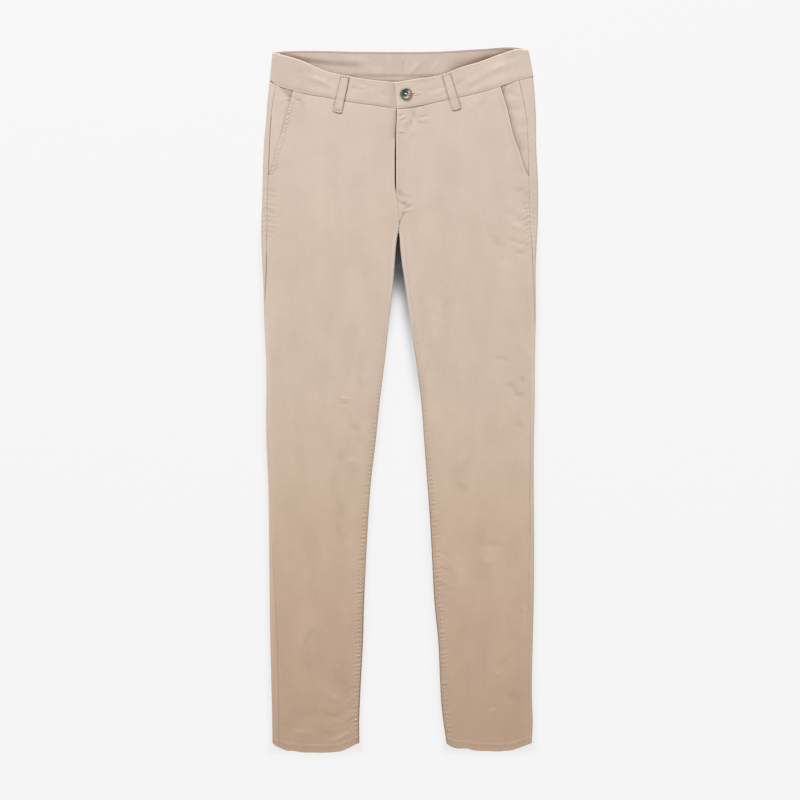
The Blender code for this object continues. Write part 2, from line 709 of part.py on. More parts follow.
def clear_scene():
    for old in list(bpy.data.objects):
        bpy.data.objects.remove(old, do_unlink=True)


def main():
    clear_scene()
    home = collection("chino_trousers")
    cutters = collection("cutters", hidden=True)
    for leg in LEGS:
        add_front(leg, home)
        add_back(leg, home)
        add_facing(leg, home)
        add_band(leg, home)
    add_shield(home)
    add_lining(home)
    add_front_loop(RIGHT, "belt_loop_front_right", (-81.8, 487.0), (-94.0, 432.0), home)
    add_front_loop(LEFT, "belt_loop_front_left", (68.8, 491.0), (85.2, 436.0), home)
    add_back_loop("belt_loop_back_right", -100.0, home)
    add_back_loop("belt_loop_back_centre", 5.5, home)
    add_back_loop("belt_loop_back_left", 110.0, home)
    add_button(home, cutters)
    centre(home, cutters)


main()
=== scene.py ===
"""Slim chino trousers laid flat with the front up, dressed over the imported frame.

Sizes are millimetres in the cutter's own frame: x towards the wearer's left, y towards
the waist from halfway down, z up from the surface. Every piece is a grid of points over
the cloth's outer face, thickened inwards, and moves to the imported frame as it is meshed.
"""

import logging
import math
from dataclasses import dataclass
from enum import Enum

import bpy
import numpy as np
from mathutils import Matrix, Vector


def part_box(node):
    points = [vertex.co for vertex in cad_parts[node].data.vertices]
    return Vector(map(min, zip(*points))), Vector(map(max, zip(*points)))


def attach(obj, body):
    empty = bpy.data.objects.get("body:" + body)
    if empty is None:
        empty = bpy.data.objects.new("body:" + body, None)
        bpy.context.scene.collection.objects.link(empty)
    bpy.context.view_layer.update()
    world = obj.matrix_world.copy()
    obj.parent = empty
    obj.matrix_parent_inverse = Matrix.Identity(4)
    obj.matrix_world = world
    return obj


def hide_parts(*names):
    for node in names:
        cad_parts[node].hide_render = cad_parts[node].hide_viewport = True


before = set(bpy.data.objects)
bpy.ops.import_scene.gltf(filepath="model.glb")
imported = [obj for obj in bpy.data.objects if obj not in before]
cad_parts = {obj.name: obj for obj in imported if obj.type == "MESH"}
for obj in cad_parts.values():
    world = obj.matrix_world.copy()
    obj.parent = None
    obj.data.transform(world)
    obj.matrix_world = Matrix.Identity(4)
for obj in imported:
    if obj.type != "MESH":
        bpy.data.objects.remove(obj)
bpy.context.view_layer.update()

MM = 0.001
BODY = "root"
BUTTON_AT = (9.0, 460.0)

logging.basicConfig(level=logging.INFO, format="%(message)s")
log = logging.getLogger("chinos")

PANEL_SLOT = "panel_cloth"
BAND_SLOT = "band_cloth"

Colour = tuple[float, float, float]
Point = tuple[float, float]
Array = np.ndarray
Material = bpy.types.Material
Made = bpy.types.Object


# ------------------------------------------------------------------ numbers


def smoothstep(value: Array | float) -> Array:
    """Ease from 0 to 1 as value goes from 0 to 1."""
    t = np.clip(value, 0.0, 1.0)
    return t * t * (3.0 - 2.0 * t)


def rise(value: Array | float, start: Array | float, length: float) -> Array:
    """Ease from 0 at start to 1 a length further on, or further back where length is negative."""
    return smoothstep((value - start) / length)


def bell(value: Array | float) -> Array:
    """A soft hump of height 1 at 0, which is nearly gone at 2."""
    return np.exp(-np.square(value))


def ripple(at: Array, scale: float, seed: float) -> Array:
    """An uneven wave from about -1 to 1, the same on every run.

    Args:
        at: Where to read it.
        scale: Rough length of its shortest swings.
        seed: Any number; another one gives another wave.

    Returns:
        The wave at each place.
    """
    t = np.asarray(at, float) / scale
    wave = np.sin(2.1 * t + 1.7 * seed) + 0.7 * np.sin(3.37 * t + 4.1 * seed)
    return (wave + 0.5 * np.sin(5.21 * t + 2.3 * seed)) / 2.2


def crumple(x: Array, y: Array, scale: float, seed: float) -> Array:
    """An uneven rolling surface from about -1 to 1.

    Args:
        x: Where to read it, across.
        y: Where to read it, along.
        scale: Rough size of its hollows.
        seed: Any number; another one gives another surface.

    Returns:
        The surface at each point.
    """
    total = np.zeros(np.broadcast(x, y).shape)
    for index, turn in enumerate((0.3, 1.25, 2.2, 2.9)):
        u = x * math.cos(turn) + y * math.sin(turn)
        v = y * math.cos(turn) - x * math.sin(turn)
        total += ripple(u, scale, seed + index) * (0.6 + 0.4 * ripple(v, 1.7 * scale, seed - index))
    return total / 2.4


def beside(*parts: Array) -> Array:
    """Join grids side by side."""
    return np.concatenate(parts, axis=1)


class Curve:
    """A smooth line through the (at, value) rows of a short table."""

    def __init__(self, *rows: Point, steady: bool = False) -> None:
        """Keep the rows and the slope of the line at each.

        Args:
            rows: The (at, value) pairs, in any order.
            steady: Whether the line may not swing past its rows.
        """
        ordered = sorted(rows)
        self.at = np.array([row[0] for row in ordered], float)
        self.value = np.array([row[1] for row in ordered], float)
        self.slope = np.gradient(self.value, self.at)
        if steady:
            steps = np.diff(self.value) / np.diff(self.at)
            least = np.minimum(np.abs(steps[:-1]), np.abs(steps[1:]))
            gentle = np.sign(steps[1:]) * np.minimum(np.abs(self.slope[1:-1]), 2.0 * least)
            self.slope[1:-1] = np.where(steps[:-1] * steps[1:] > 0.0, gentle, 0.0)

    def __call__(self, at: Array | float) -> Array:
        """Value of the line at each place, and its end values beyond the table."""
        at = np.asarray(at, float)
        i = np.clip(np.searchsorted(self.at, at) - 1, 0, len(self.at) - 2)
        span = self.at[i + 1] - self.at[i]
        t = np.clip((at - self.at[i]) / span, 0.0, 1.0)
        height = self.value[i] * (1.0 + 2.0 * t) * (1.0 - t) ** 2
        height = height + self.value[i + 1] * t * t * (3.0 - 2.0 * t)
        height = height + self.slope[i] * span * t * (1.0 - t) ** 2
        return height - self.slope[i + 1] * span * t * t * (1.0 - t)


# ------------------------------------------------------------------ pattern


class Side(Enum):
    """Which half of the garment, by the sign of its x."""

    RIGHT = -1
    LEFT = 1


@dataclass(frozen=True, eq=False)
class Leg:
    """One half's outline and seams: x or inset from the folded edge, by y or by x."""

    side: Side
    outer: Curve
    inner: Curve
    side_seam: Curve
    pocket: Curve
    inseam: Curve
    fork_x: Curve
    fork_turn: Curve
    hem: Curve
    band_seam: Curve
    band_top: Curve
    fold_low: Point
    fold_top: Point
    fork_y: Curve = Curve((210, 210.0), (233, 233.0), (245, 245.5), (250, 250.3), (253.2, 253.2), steady=True)
    fork_inset: Curve = Curve((210, 6.3), (233, 7.0), (245, 8.0), (250, 10.5), (253.2, 13.0), steady=True)

    @property
    def sign(self) -> int:
        """-1 on the wearer's right, 1 on the left."""
        return self.side.value

    @property
    def word(self) -> str:
        """The side's name, as the pieces have it."""
        return self.side.name.lower()


RIGHT = Leg(
    side=Side.RIGHT,
    outer=Curve(
        (-512, -191.5), (-480, -191.9), (-420, -193.3), (-360, -194.8), (-240, -196.2), (-120, -198.0),
        (-60, -200.7), (60, -201.0), (120, -203.8), (180, -205.4), (240, -208.2), (270, -208.2),
        (300, -207.0), (360, -205.4), (390, -204.0), (420, -201.2), (450, -199.0), (480, -196.0),
    ),
    inner=Curve(
        (-512, -61.0), (-480, -61.2), (-450, -60.0), (-420, -58.6), (-360, -55.5), (-300, -53.8),
        (-240, -51.0), (-180, -47.8), (-120, -43.5), (-60, -36.4), (0, -30.2), (60, -22.8), (120, -16.4),
        (180, -9.7), (210, -7.5), (233, -5.7), (254, -2.8),
    ),
    side_seam=Curve(
        (-512, 10.0), (-310, 9.6), (-270, 7.5), (-205, 4.5), (-20, 3.0), (60, 1.0), (120, 0.8), (155, 2.2),
        (215, 7.0), (270, 9.0), (300, 8.2), (350, 8.7), (375, 9.0), (420, 7.6), (480, 10.5),
    ),
    pocket=Curve(
        (337, 9.0), (356, 15.6), (377, 20.0), (397, 24.7), (423, 28.5), (449, 33.6), (465, 35.5),
        (480, 38.0),
    ),
    inseam=Curve(
        (-512, 4.0), (-450, 4.2), (-290, 6.0), (-134, 3.0), (-40, 3.4), (60, 4.2), (150, 5.0), (200, 6.0),
        (233, 7.0),
    ),
    fork_x=Curve((210, -7.5), (233, -5.7), (245, -4.1), (250, -3.3), (253.2, -2.3), steady=True),
    fork_turn=Curve((210, 0.0), (233, 4.6), (245, 53.1), (250, 72.5), (253.2, 95.7), steady=True),
    hem=Curve(
        (-190.5, 0.2), (-188, 2.6), (-182, 6.1), (-176, 8.7), (-170, 10.9), (-158, 11.5), (-152, 12.8),
        (-128, 13.9), (-110, 13.9), (-98, 13.1), (-86, 11.1), (-80, 8.3), (-74, 5.8), (-68, 2.4),
        (-62, 0.0),
    ),
    band_seam=Curve(
        (-195, 479.6), (-185, 473.0), (-163, 465.5), (-98, 452.6), (-83, 449.5), (-40, 443.5), (-16, 440.0),
        (-4.5, 438.4), (2.3, 439.0), (24, 442.5),
    ),
    band_top=Curve(
        (-191.5, 522.5), (-152, 512.0), (-109.5, 494.0), (-81, 487.4), (-38, 480.5), (-8, 478.6),
        (24, 481.0),
    ),
    fold_low=(-195.6, 479.9),
    fold_top=(-191.5, 522.5),
)
LEFT = Leg(
    side=Side.LEFT,
    outer=Curve(
        (-512, 198.0), (-480, 199.3), (-450, 198.2), (-360, 199.3), (-300, 200.8), (-60, 201.0), (0, 202.2),
        (60, 202.4), (120, 203.8), (210, 204.0), (240, 205.4), (270, 207.0), (330, 207.0), (390, 204.2),
        (420, 204.0), (450, 202.4), (480, 199.7),
    ),
    inner=Curve(
        (-512, 69.6), (-480, 64.8), (-450, 61.6), (-420, 60.0), (-360, 57.2), (-300, 51.4), (-240, 48.2),
        (-180, 45.0), (-120, 40.6), (-60, 36.2), (0, 31.6), (60, 24.0), (120, 15.2), (180, 6.7), (210, 2.5),
        (233, 0.1), (254, -1.5),
    ),
    side_seam=Curve(
        (-512, 5.2), (-390, 4.9), (-315, 5.4), (-272, 8.0), (-200, 6.0), (-150, 6.0), (-85, 5.3),
        (-20, 6.4), (6, 7.6), (54, 7.0), (87, 4.0), (110, 2.5), (185, 3.6), (230, 6.6), (273, 12.3),
        (333, 13.2), (377, 12.2), (411, 13.4), (446, 16.5), (480, 21.0),
    ),
    pocket=Curve((334, 13.4), (345, 17.6), (377, 26.4), (402, 34.7), (437, 42.0), (470, 48.6), (480, 50.5)),
    inseam=Curve(
        (-512, 4.5), (-390, 5.5), (-290, 7.0), (-218, 6.0), (-125, 5.5), (-64, 3.8), (60, 4.5), (150, 5.0),
        (233, 7.0),
    ),
    fork_x=Curve((210, 2.5), (233, 0.1), (245, -0.7), (250, -1.2), (253.2, -1.7), steady=True),
    fork_turn=Curve((210, 0.0), (233, 4.6), (245, 53.1), (250, 72.5), (253.2, 84.3), steady=True),
    hem=Curve(
        (69.6, 0.3), (73, 2.9), (79, 6.1), (85, 7.8), (91, 7.9), (103, 8.3), (109, 10.1), (115, 10.9),
        (133, 11.6), (151, 11.9), (157, 11.2), (163, 11.0), (169, 10.1), (175, 8.1), (187, 4.1), (193, 1.7),
        (198, 0.0),
    ),
    band_seam=Curve(
        (-9, 437.4), (2.3, 438.5), (40, 444.5), (74, 452.0), (88.5, 455.0), (151, 471.5), (178, 480.5),
        (200, 486.2),
    ),
    band_top=Curve(
        (-7.5, 477.0), (20, 482.0), (62, 488.9), (91, 500.0), (121, 509.0), (149, 519.5), (176, 527.4),
        (192.6, 526.5),
    ),
    fold_low=(200.2, 486.3),
    fold_top=(192.6, 526.5),
)
LEGS = (RIGHT, LEFT)
BACK_SEAM = Curve((-196, 479.7), (-120, 483.0), (0, 483.5), (120, 484.0), (201, 486.3))
BACK_TOP = Curve(
    (-192, 522.5), (-178, 524.0), (-158, 524.7), (-50, 523.5), (62, 524.1), (121, 527.6), (175, 529.6),
    (193, 526.5),
)
CENTRE_BACK = Curve((253, -2.0), (330, 0.0), (400, 2.5), (484, 5.0), (525, 6.0))
FLY_EDGE = Curve(
    (266, -0.75), (290, -3.0), (300, -3.75), (316, -5.6), (330, -5.75), (372, -5.75), (390, -5.8),
    (405, -5.6), (423, -4.7), (437, -4.3), steady=True,
)

# Painted light on the floor between the legs, and the share of it that each leg's inner edge takes away as
# painted shadow.
FORK_LIGHT = Curve(
    (253, 0.01), (240, 0.02), (228, 0.035), (216.5, 0.049), (210.5, 0.058), (201.5, 0.088), (192.5, 0.125),
    (180.5, 0.23), (165.5, 0.53), (150.5, 0.89), (135.5, 0.975), (120.5, 1.0), steady=True,
)
LEFT_SHADOW = Curve(
    (180.5, 0.3), (165.5, 0.5), (150.5, 0.57), (135.5, 0.55), (105.5, 0.39), (75.5, 0.31), (30.5, 0.23),
    (0, 0.1), (-25, 0.06), (-500, 0.05), (-516, 0.0), steady=True,
)
RIGHT_SHADOW = Curve(
    (180, 0.0), (165, 0.12), (150.5, 0.26), (120.5, 0.22), (90.5, 0.1), (40, 0.06), (-500, 0.05),
    (-516, 0.0), steady=True,
)


@dataclass(frozen=True)
class Crease:
    """A soft ridge (height over 0) or trough pressed into the cloth between two points."""

    start: Point
    end: Point
    width: float
    height: float
    bend: float = 0.0
    shade: float = 0.0

    def press(self, x: Array, y: Array) -> Array:
        """Height of the crease at each point, fading towards its ends."""
        return self.height * self.shape(x, y)

    def tone(self, x: Array, y: Array) -> Array:
        """Painted shade or highlight of the crease at each point: its own shade, or one that suits its
        height, darker in a trough and lighter on a ridge.
        """
        return (self.shade or self.height * (0.5 if self.height > 0.0 else 0.12)) * self.shape(x, y)

    def shape(self, x: Array, y: Array) -> Array:
        """Share of the crease's height at each point, from 0 to 1."""
        run = math.dist(self.start, self.end)
        dx = (self.end[0] - self.start[0]) / run
        dy = (self.end[1] - self.start[1]) / run
        from_x = x - (self.start[0] + self.end[0]) / 2.0
        from_y = y - (self.start[1] + self.end[1]) / 2.0
        u = from_x * dx + from_y * dy
        v = from_y * dx - from_x * dy
        seed = self.start[0] + 0.7 * self.end[1]
        along = u / (run / 2.0 + 1.5 * self.width)
        wander = ripple(u + 0.3 * v, 2.0 * self.width + 4.0, seed)
        across = v - self.bend * (1.0 - along * along) - 0.45 * self.width * wander
        uneven = 0.95 + 0.35 * ripple(u - 0.4 * v, 1.6 * self.width + 3.0, seed + 5.0)
        width = self.width * (1.0 - 0.25 * np.clip(along, -1.0, 1.0)) * (1.08 + 0.25 * wander)
        return smoothstep(1.12 * (1.0 - np.abs(along))) * uneven * bell(across / width)


def pressed(*rows: tuple[float, ...]) -> tuple[Crease, ...]:
    """Creases from rows of start x and y, end x and y, width, height, and perhaps bend and shade."""
    return tuple(Crease(row[:2], row[2:4], *row[4:]) for row in rows)


def relief(creases: tuple[Crease, ...], x: Array, y: Array) -> Array:
    """Height of all these creases at each point."""
    return sum(crease.press(x, y) for crease in creases)


@dataclass(frozen=True)
class Pucker:
    """Small slanting ridges that a line of stitching draws up beside itself."""

    low: float
    high: float
    pitch: float
    reach: float
    height: float
    slant: float
    seed: float

    def wave(self, along: Array, away: Array) -> Array:
        """The ridges' uneven beat, from -1 to 1."""
        uneven = 2.2 * ripple(along, 13.0, self.seed)
        return np.sin(math.tau / self.pitch * (along + self.slant * away) + uneven)

    def strength(self, along: Array) -> Array:
        """Uneven strength along the seam, fading towards its ends."""
        ends = rise(along, self.low, 25.0) * rise(along, self.high, -25.0)
        return ends * np.clip(0.75 + 0.45 * ripple(along, 31.0, self.seed + 3.0), 0.05, 1.3)

    def press(self, along: Array, away: Array) -> Array:
        """Height of the ridges, by the place along the seam and the signed distance from it."""
        near = 0.42 * self.reach * (1.0 + 0.35 * ripple(along, 9.0, self.seed + 5.0))
        share = np.abs(away) / near
        wave = (0.5 + 0.5 * self.wave(along, away)) ** 1.5 - 0.42
        return self.height * wave * self.strength(along) * share * np.exp(1.0 - share)

    def bead_shading(self, along: Array, away: Array, width: float = 1.15) -> Array:
        """Painted highlight on the beads of cloth drawn up beside the stitching, and painted shade in the
        dots between them.
        """
        wave = self.wave(along, away)
        beads = 1.5 * np.clip(wave, 0.0, None) ** 1.5 + 0.3 * np.clip(wave, -1.0, 0.0)
        return self.strength(along) * beads * bell((np.abs(away) - 0.5) / width)


class Drape:
    """Heights of the laid garment, before anything small is pressed into it."""

    CLOTH = 1.2
    BAND_CLOTH = 1.8
    LOOP_CLOTH = 1.1
    LINING_CLOTH = 1.0
    GAP = 0.3
    SLIT = 0.03
    EDGE = 4.6
    DOME = 1.2
    DOME_REACH = 42.0
    HEM = -513.5
    HEM_TOP = -504.0
    WAIST = 480.0
    BENDS = (-440.0, 372.0)
    FORK = (-2.0, 253.2)
    FORK_START = 210.0
    POCKET_END = 339.0
    BAND_FLOOR = 1.4
    BAND_TALL = 42.0
    CROSS = 13.1

    # Each crease also paints shade in its trough or a highlight on its ridge (Crease.tone).
    CREASES = pressed(
        (-181, 119, -181, 74, 6.0, -0.42), (-107, 139, -107, 88, 6.6, -0.34, 2.0),
        (-61, 77, -61, -10, 3.6, -0.68, 1.5), (-89, 4, -73, 1, 1.2, 0.6, 0.5),
        (-91, -4, -75, -4, 2.4, -0.45), (-88, -9.5, -51.5, -80, 4.6, -0.65, 3.0),
        (-52, -32, -52, -60, 4.0, 0.6), (-80, -88, -57, -102, 5.4, 0.5, 1.0),
        (-89, -74, -89, -105, 4.8, -0.68), (-100, -105, -100, -150, 5.0, -0.5),
        (-159, -32, -159, -52, 4.0, -0.34), (-97, -136, -93, -243, 8.5, -0.6, 4.0),
        (-71, -150, -71, -181, 5.4, 0.6), (-72, -195, -72, -231, 5.0, 0.4),
        (-165, -223, -165, -245, 4.8, -0.5), (-143, -315, -143, -358, 14.0, 0.55, 3.0),
        (-124, -341, -144, -372, 3.0, -0.68, -2.0), (-93, -299, -77, -332, 2.0, 0.4, 2.0),
        (-95, -408, -95, -419, 5.0, -0.5), (-98, -420, -78, -450, 7.5, -0.65, 2.0),
        (-130, -425, -80, -465, 6.0, 0.5, 4.0), (-124, -474, -82, -474, 5.0, -0.68, 1.5),
        (-161, -497, -127, -497, 4.2, 0.6), (-175, -484, -158, -499, 7.0, -0.55),
        (-166, -470, -130, -472, 10.0, -0.5), (-121, -500, -94, -500, 6.0, -0.5),
        (-105, -511, -71, -495, 2.8, 0.85, -1.0), (-64, -426, -79, -436, 3.0, -0.5, 1.0),
        (-65, -440, -80, -451, 2.2, 0.4, 1.0), (-64, -455, -84, -466, 2.8, -0.45, 1.0),
        (-65, -474, -85, -487, 2.8, -0.5, 1.0), (-66, -466, -82, -478, 2.2, 0.35, 1.0),
        (-168, 150, -150, 60, 15.0, 0.3, 6.0, 0.05), (-120, 250, -92, 150, 18.0, -0.3, 8.0),
        (-60, 330, -20, 290, 10.0, -0.35, 4.0), (-150, 330, -90, 372, 14.0, 0.25, 6.0, 0.05),
        (-150, -230, -165, -310, 12.0, -0.3, -4.0), (10, 252, 25, 160, 5.4, 0.6, 2.0),
        (30, 270, 30, 114, 1.2, -0.25, 1.0), (58, 203, 68, 86, 6.0, -0.75, 4.0),
        (46, 136, 54, 74, 4.2, 0.6, 1.5), (80, 80, 80, -4, 6.0, -0.34, 2.0), (38, 74, 38, 49, 5.0, 0.6),
        (128, 265, 156, 198, 4.8, -0.7, 4.0), (164, 241, 186, 233, 3.0, -0.95, 1.5),
        (172, 226, 189, 214, 2.8, -0.85, 1.0), (161, 270, 186, 254, 3.0, 0.9, 1.0),
        (161, 209, 175, 186, 5.0, 0.4), (136, 65, 167, 55, 3.6, -0.68, 2.0),
        (174, 83, 189, 60, 2.4, -0.85, 1.0), (184, 35, 184, 24, 2.4, -1.0),
        (158, 24, 184, -1, 4.2, -1.0, 3.0), (164, -1, 178, -26, 4.0, 0.6, 1.5),
        (172, -32, 189, -46, 3.6, -0.55, 1.0), (77, -105, 91, -150, 8.6, -0.55, 4.0),
        (83, -94, 105, -77, 5.0, 0.4), (49, -21, 66, -43, 5.0, 0.4), (83, -120, 100, -136, 7.2, -0.45),
        (115, -181, 119, -226, 9.0, -0.6, 2.0), (120, -212, 153, -218, 6.0, -0.55, -2.0),
        (119, -234, 144, -245, 5.0, 0.4), (82, -223, 97, -288, 10.0, 0.5, 3.0),
        (112, -250, 135, -291, 10.0, -0.25), (162, -324, 162, -341, 4.2, -0.5),
        (187, -296, 189, -358, 1.3, 1.4, 0.5), (153, -405, 167, -380, 5.0, -0.5, 1.5),
        (134, -402, 150, -411, 3.6, 0.45), (158, -433, 178, -458, 6.6, -0.55, 2.0),
        (130, -466, 146, -466, 3.0, 0.45, 0.5), (90, -478, 185, -478, 34.0, -0.1, 0.0, -0.07),
        (57, -226, 78, -238, 2.4, -0.5, 1.0), (55, -250, 78, -262, 2.6, -0.45, 1.0),
        (56, -275, 80, -289, 2.4, -0.5, 1.0), (166, 318, 197, 302, 4.0, -0.5, 2.0),
        (160, 296, 194, 276, 5.0, 0.4, 2.0), (158, 284, 190, 262, 4.0, -0.5, 3.0),
        (120, 380, 60, 330, 16.0, -0.25, 8.0), (70, 430, 24, 400, 12.0, 0.3, 4.0, 0.06),
        (30, 432, 2, 405, 5.0, -0.5, 3.0), (60, 300, 20, 280, 9.0, -0.3, 3.0),
        (100, -300, 88, -370, 13.0, -0.3, 5.0), (-5.0, 318, -3.2, 303, 1.3, -0.5, 0.0, -0.60),
        (-1, 316, 2, 304, 4.0, -0.4, 0.0, -0.22), (-4, 300, 8, 294, 1.6, -0.8, 0.5, -0.55),
        (7.5, 299, 7.8, 291, 1.4, -0.6, 0.0, -0.40), (18, 294.5, 6, 287, 1.7, -0.8, -0.6, -0.45),
        (6, 287.5, 0.2, 268, 1.5, -0.7, 0.8, -0.50), (0.6, 271, -0.6, 266, 1.1, -0.5, 0.0, -0.70),
        (5, 283, 19, 286, 2.2, 0.4, 1.5, 0.10), (6, 279, 17, 281, 1.8, -0.35, 1.2, -0.10),
        (0, 316, 18, 309, 3.0, 0.35), (2, 310, 16, 302, 2.4, -0.35, 0.0, -0.08),
        (-3, 307, 2, 296, 1.8, 0.4), (0, 292, 3, 280, 1.6, 0.4),
        (-178, 470, -164, 451, 2.8, -0.7, 0.6, -0.22), (-178, 476, -160, 456, 2.4, 0.5, 0.0, 0.12),
        (-159, 454, -142, 440, 1.4, -0.7, 1.5, -0.30), (-176, 467, -162, 464, 3.5, -0.3, 0.0, -0.25),
        (-166.5, 458, -163.5, 456, 1.4, -0.3, 0.0, -0.50),
        (-168, 452, -164.5, 449.5, 1.4, -0.3, 0.0, -0.60), (-180, 449, -167, 455, 1.2, 0.5, 0.0, 0.20),
        (160, 474, 154, 462, 1.8, -0.4, 0.0, -0.40), (155, 462, 180, 456, 3.6, -0.5, 0.0, -0.05),
        (158, 454, 178, 449, 3.2, 0.4), (162, 440, 182, 434, 3.4, -0.4), (176, 424, 196, 428, 2.6, 0.4),
        (176, 414, 198, 416, 2.4, -0.4), (178, 404, 198, 405, 2.6, 0.35), (184, 392, 200, 396, 2.4, -0.35),
        (105, 438, 121, 455, 3.5, 0.3), (112, 434, 128, 452, 3.5, -0.3),
        (14, 434, 30, 416, 5.0, -0.5, 0.0, -0.08), (30, 440, 26, 426, 2.8, 0.5, 0.0, 0.25),
        (21.3, 438, 21.3, 423, 1.3, -0.6, 0.5, -0.22), (15.5, 424, 18, 411, 1.6, -0.6, 0.5, -0.20),
        (19, 425, 21, 412, 1.2, 0.5, 0.5, 0.30), (22.5, 419.5, 46, 411, 1.3, -0.5, 0.8, -0.14),
        (24, 423, 44, 416, 1.2, 0.5, 0.8, 0.25), (28, 423, 43, 430, 1.4, -0.5, 0.0, -0.12),
        (30, 420, 48, 424, 1.4, 0.4, 0.0, 0.20), (26, 415, 40, 404, 1.5, -0.5, 0.6, -0.12),
        (-1.5, 401, 9, 399.5, 1.2, -0.7, 0.3, -0.32), (-1.5, 404, 8, 404, 1.2, 0.5, 0.3, 0.25),
        (-1, 425, 7, 431, 1.3, -0.6, 0.0, -0.18), (-1, 419, 10, 424, 1.3, -0.6, 0.0, -0.14),
        (-1, 422, 8, 427, 1.1, 0.5, 0.0, 0.25), (9, 418, 9, 402, 1.8, -0.45, 0.0, -0.12),
        (12, 392, 21, 400, 1.6, -0.4, 0.0, -0.10), (3, 388, 12, 378, 2.0, -0.35, 0.0, -0.08),
        (2, 345, 9, 338, 2.0, -0.35), (1, 330, 10, 322, 2.0, 0.35),
    )
    FLY_GAP = Curve(
        (300, 0.1), (310, 0.25), (315, 0.75), (321, 1.6), (330, 1.92), (345, 2.05), (366, 2.0), (378, 1.82),
        (387, 1.4), (396, 0.9), (405, 0.5), (412, 0.2), (440, 0.1),
    )
    LOOPS = (((-81.8, 487.0), (-94.0, 432.0)), ((68.8, 491.0), (85.2, 436.0)))

    @classmethod
    def floor(cls, y: Array) -> Array:
        """Height of the cloth's underside, which rises near the waist over the back loops."""
        return cls.BAND_FLOOR * rise(y, 436.0, 20.0)

    @classmethod
    def level(cls, leg: Leg, x: Array, y: Array, over: bool) -> Array:
        """True y of a point on a row, as rows bend to meet the waist seam and the hem."""
        seam = leg.band_seam(x) if over else BACK_SEAM(x)
        low, high = cls.BENDS
        raised = (seam - cls.SLIT - cls.WAIST) * rise(y, high, cls.WAIST - high)
        return y + raised - leg.hem(x) * rise(y, low, cls.HEM - low)

    @classmethod
    def from_edge(cls, leg: Leg, x: Array, y: Array) -> Array:
        """Distance of a point of the upper cloth from the nearest folded edge."""
        above = np.hypot(x - cls.FORK[0], y - cls.FORK[1])
        inner = np.where(y < cls.FORK[1], np.abs(x - leg.inner(y)), above)
        return np.minimum(np.abs(x - leg.outer(y)), inner)

    @classmethod
    def shades(cls, x: Array, y: Array) -> Array:
        """Painted shade and highlight of the sharper creases, and painted shadow on the cloth right beside
        the belt loops.
        """
        total = sum(crease.tone(x, y) for crease in cls.CREASES)
        for (top_x, top_y), (foot_x, foot_y) in cls.LOOPS:
            run = math.hypot(foot_x - top_x, foot_y - top_y)
            dx, dy = (foot_x - top_x) / run, (foot_y - top_y) / run
            along = (x - top_x) * dx + (y - top_y) * dy
            across = (y - top_y) * dx - (x - top_x) * dy
            # Painted shadow of each loop on the cloth beside it and past its foot, darker on one side.
            past = np.maximum(np.abs(across) - 6.2 - 0.6 * rise(along - run, -9.0, 7.0), along - run - 0.4)
            dark = np.where(across > 0.0, 1.0, 0.7) - 0.25 * rise(along - run, -6.0, 5.0)
            dark = dark * (0.85 + 0.3 * ripple(along, 5.0, top_x))
            total = total - dark * bell(np.clip(past, 0.0, None)) * rise(past, -3.0, 2.0)
        return total

    @classmethod
    def cloth(cls, leg: Leg, x: Array, y: Array) -> Array:
        """Height of the upper face of the front cloth, without its raised seams."""
        away = cls.from_edge(leg, x, y)
        soft = relief(cls.CREASES, x, y) + 0.16 * crumple(x, 0.6 * y, 26.0, 1.0)
        soft = soft + 0.05 * crumple(x, y, 11.0, 5.0)
        return cls.EDGE + cls.DOME * rise(away, 2.0, cls.DOME_REACH) + soft * rise(away, 2.0, 14.0)

    @classmethod
    def pocket_lift(cls, leg: Leg, x: Array, y: Array) -> Array:
        """How far the slant pocket's edge stands up, fading away from the edge."""
        inset = np.abs(leg.outer(y) - x) - leg.pocket(y)
        return 0.8 * rise(y, cls.POCKET_END, 22.0) * (1.0 - smoothstep(inset / 24.0))

    @classmethod
    def front(cls, leg: Leg, x: Array, y: Array) -> Array:
        """Height of a front panel with its pocket edge and fly."""
        height = cls.cloth(leg, x, y) + np.where(y > cls.POCKET_END, cls.pocket_lift(leg, x, y), 0.0)
        if leg is LEFT:
            fly = 1.0 - rise(x, FLY_EDGE(y), 26.0)
            height = height + 0.8 * rise(y, 300.0, 25.0) * fly
        return height

    @classmethod
    def band(cls, leg: Leg, x: Array, y: Array, up: Array) -> Array:
        """Height of the front band; up goes from 0 at its seam to 1 at its top edge."""
        mouth = 1.0 - rise(np.abs(x), 70.0, 80.0)
        away = cls.from_edge(leg, x, np.minimum(y, cls.WAIST))
        height = cls.EDGE + cls.DOME * rise(away, 2.0, cls.DOME_REACH) + mouth * up * up
        height = height + 0.25 + 0.55 * smoothstep(up * 7.0)
        if leg is RIGHT:
            return height - 1.1 * rise(x, -17.0, 9.0)
        return height + (1.0 - rise(x, 22.0, 30.0))

    @classmethod
    def band_at(cls, leg: Leg, x: Array, y: Array) -> Array:
        """Height of the front band at each point, by its place between the band's edges."""
        low = leg.band_seam(x)
        return cls.band(leg, x, y, np.clip((y - low) / (leg.band_top(x) - low), 0.0, 1.0))

    @classmethod
    def arc_to(cls, inset: Array, radius: Array) -> Array:
        """Length along the folded cloth from its edge to a seam this far inset on top."""
        on_arc = radius * np.arccos(1.0 - np.clip(inset / radius, 0.0, 1.0))
        return np.where(inset >= radius, inset - radius + radius * math.pi / 2.0, on_arc)


# ------------------------------------------------------------------ meshes


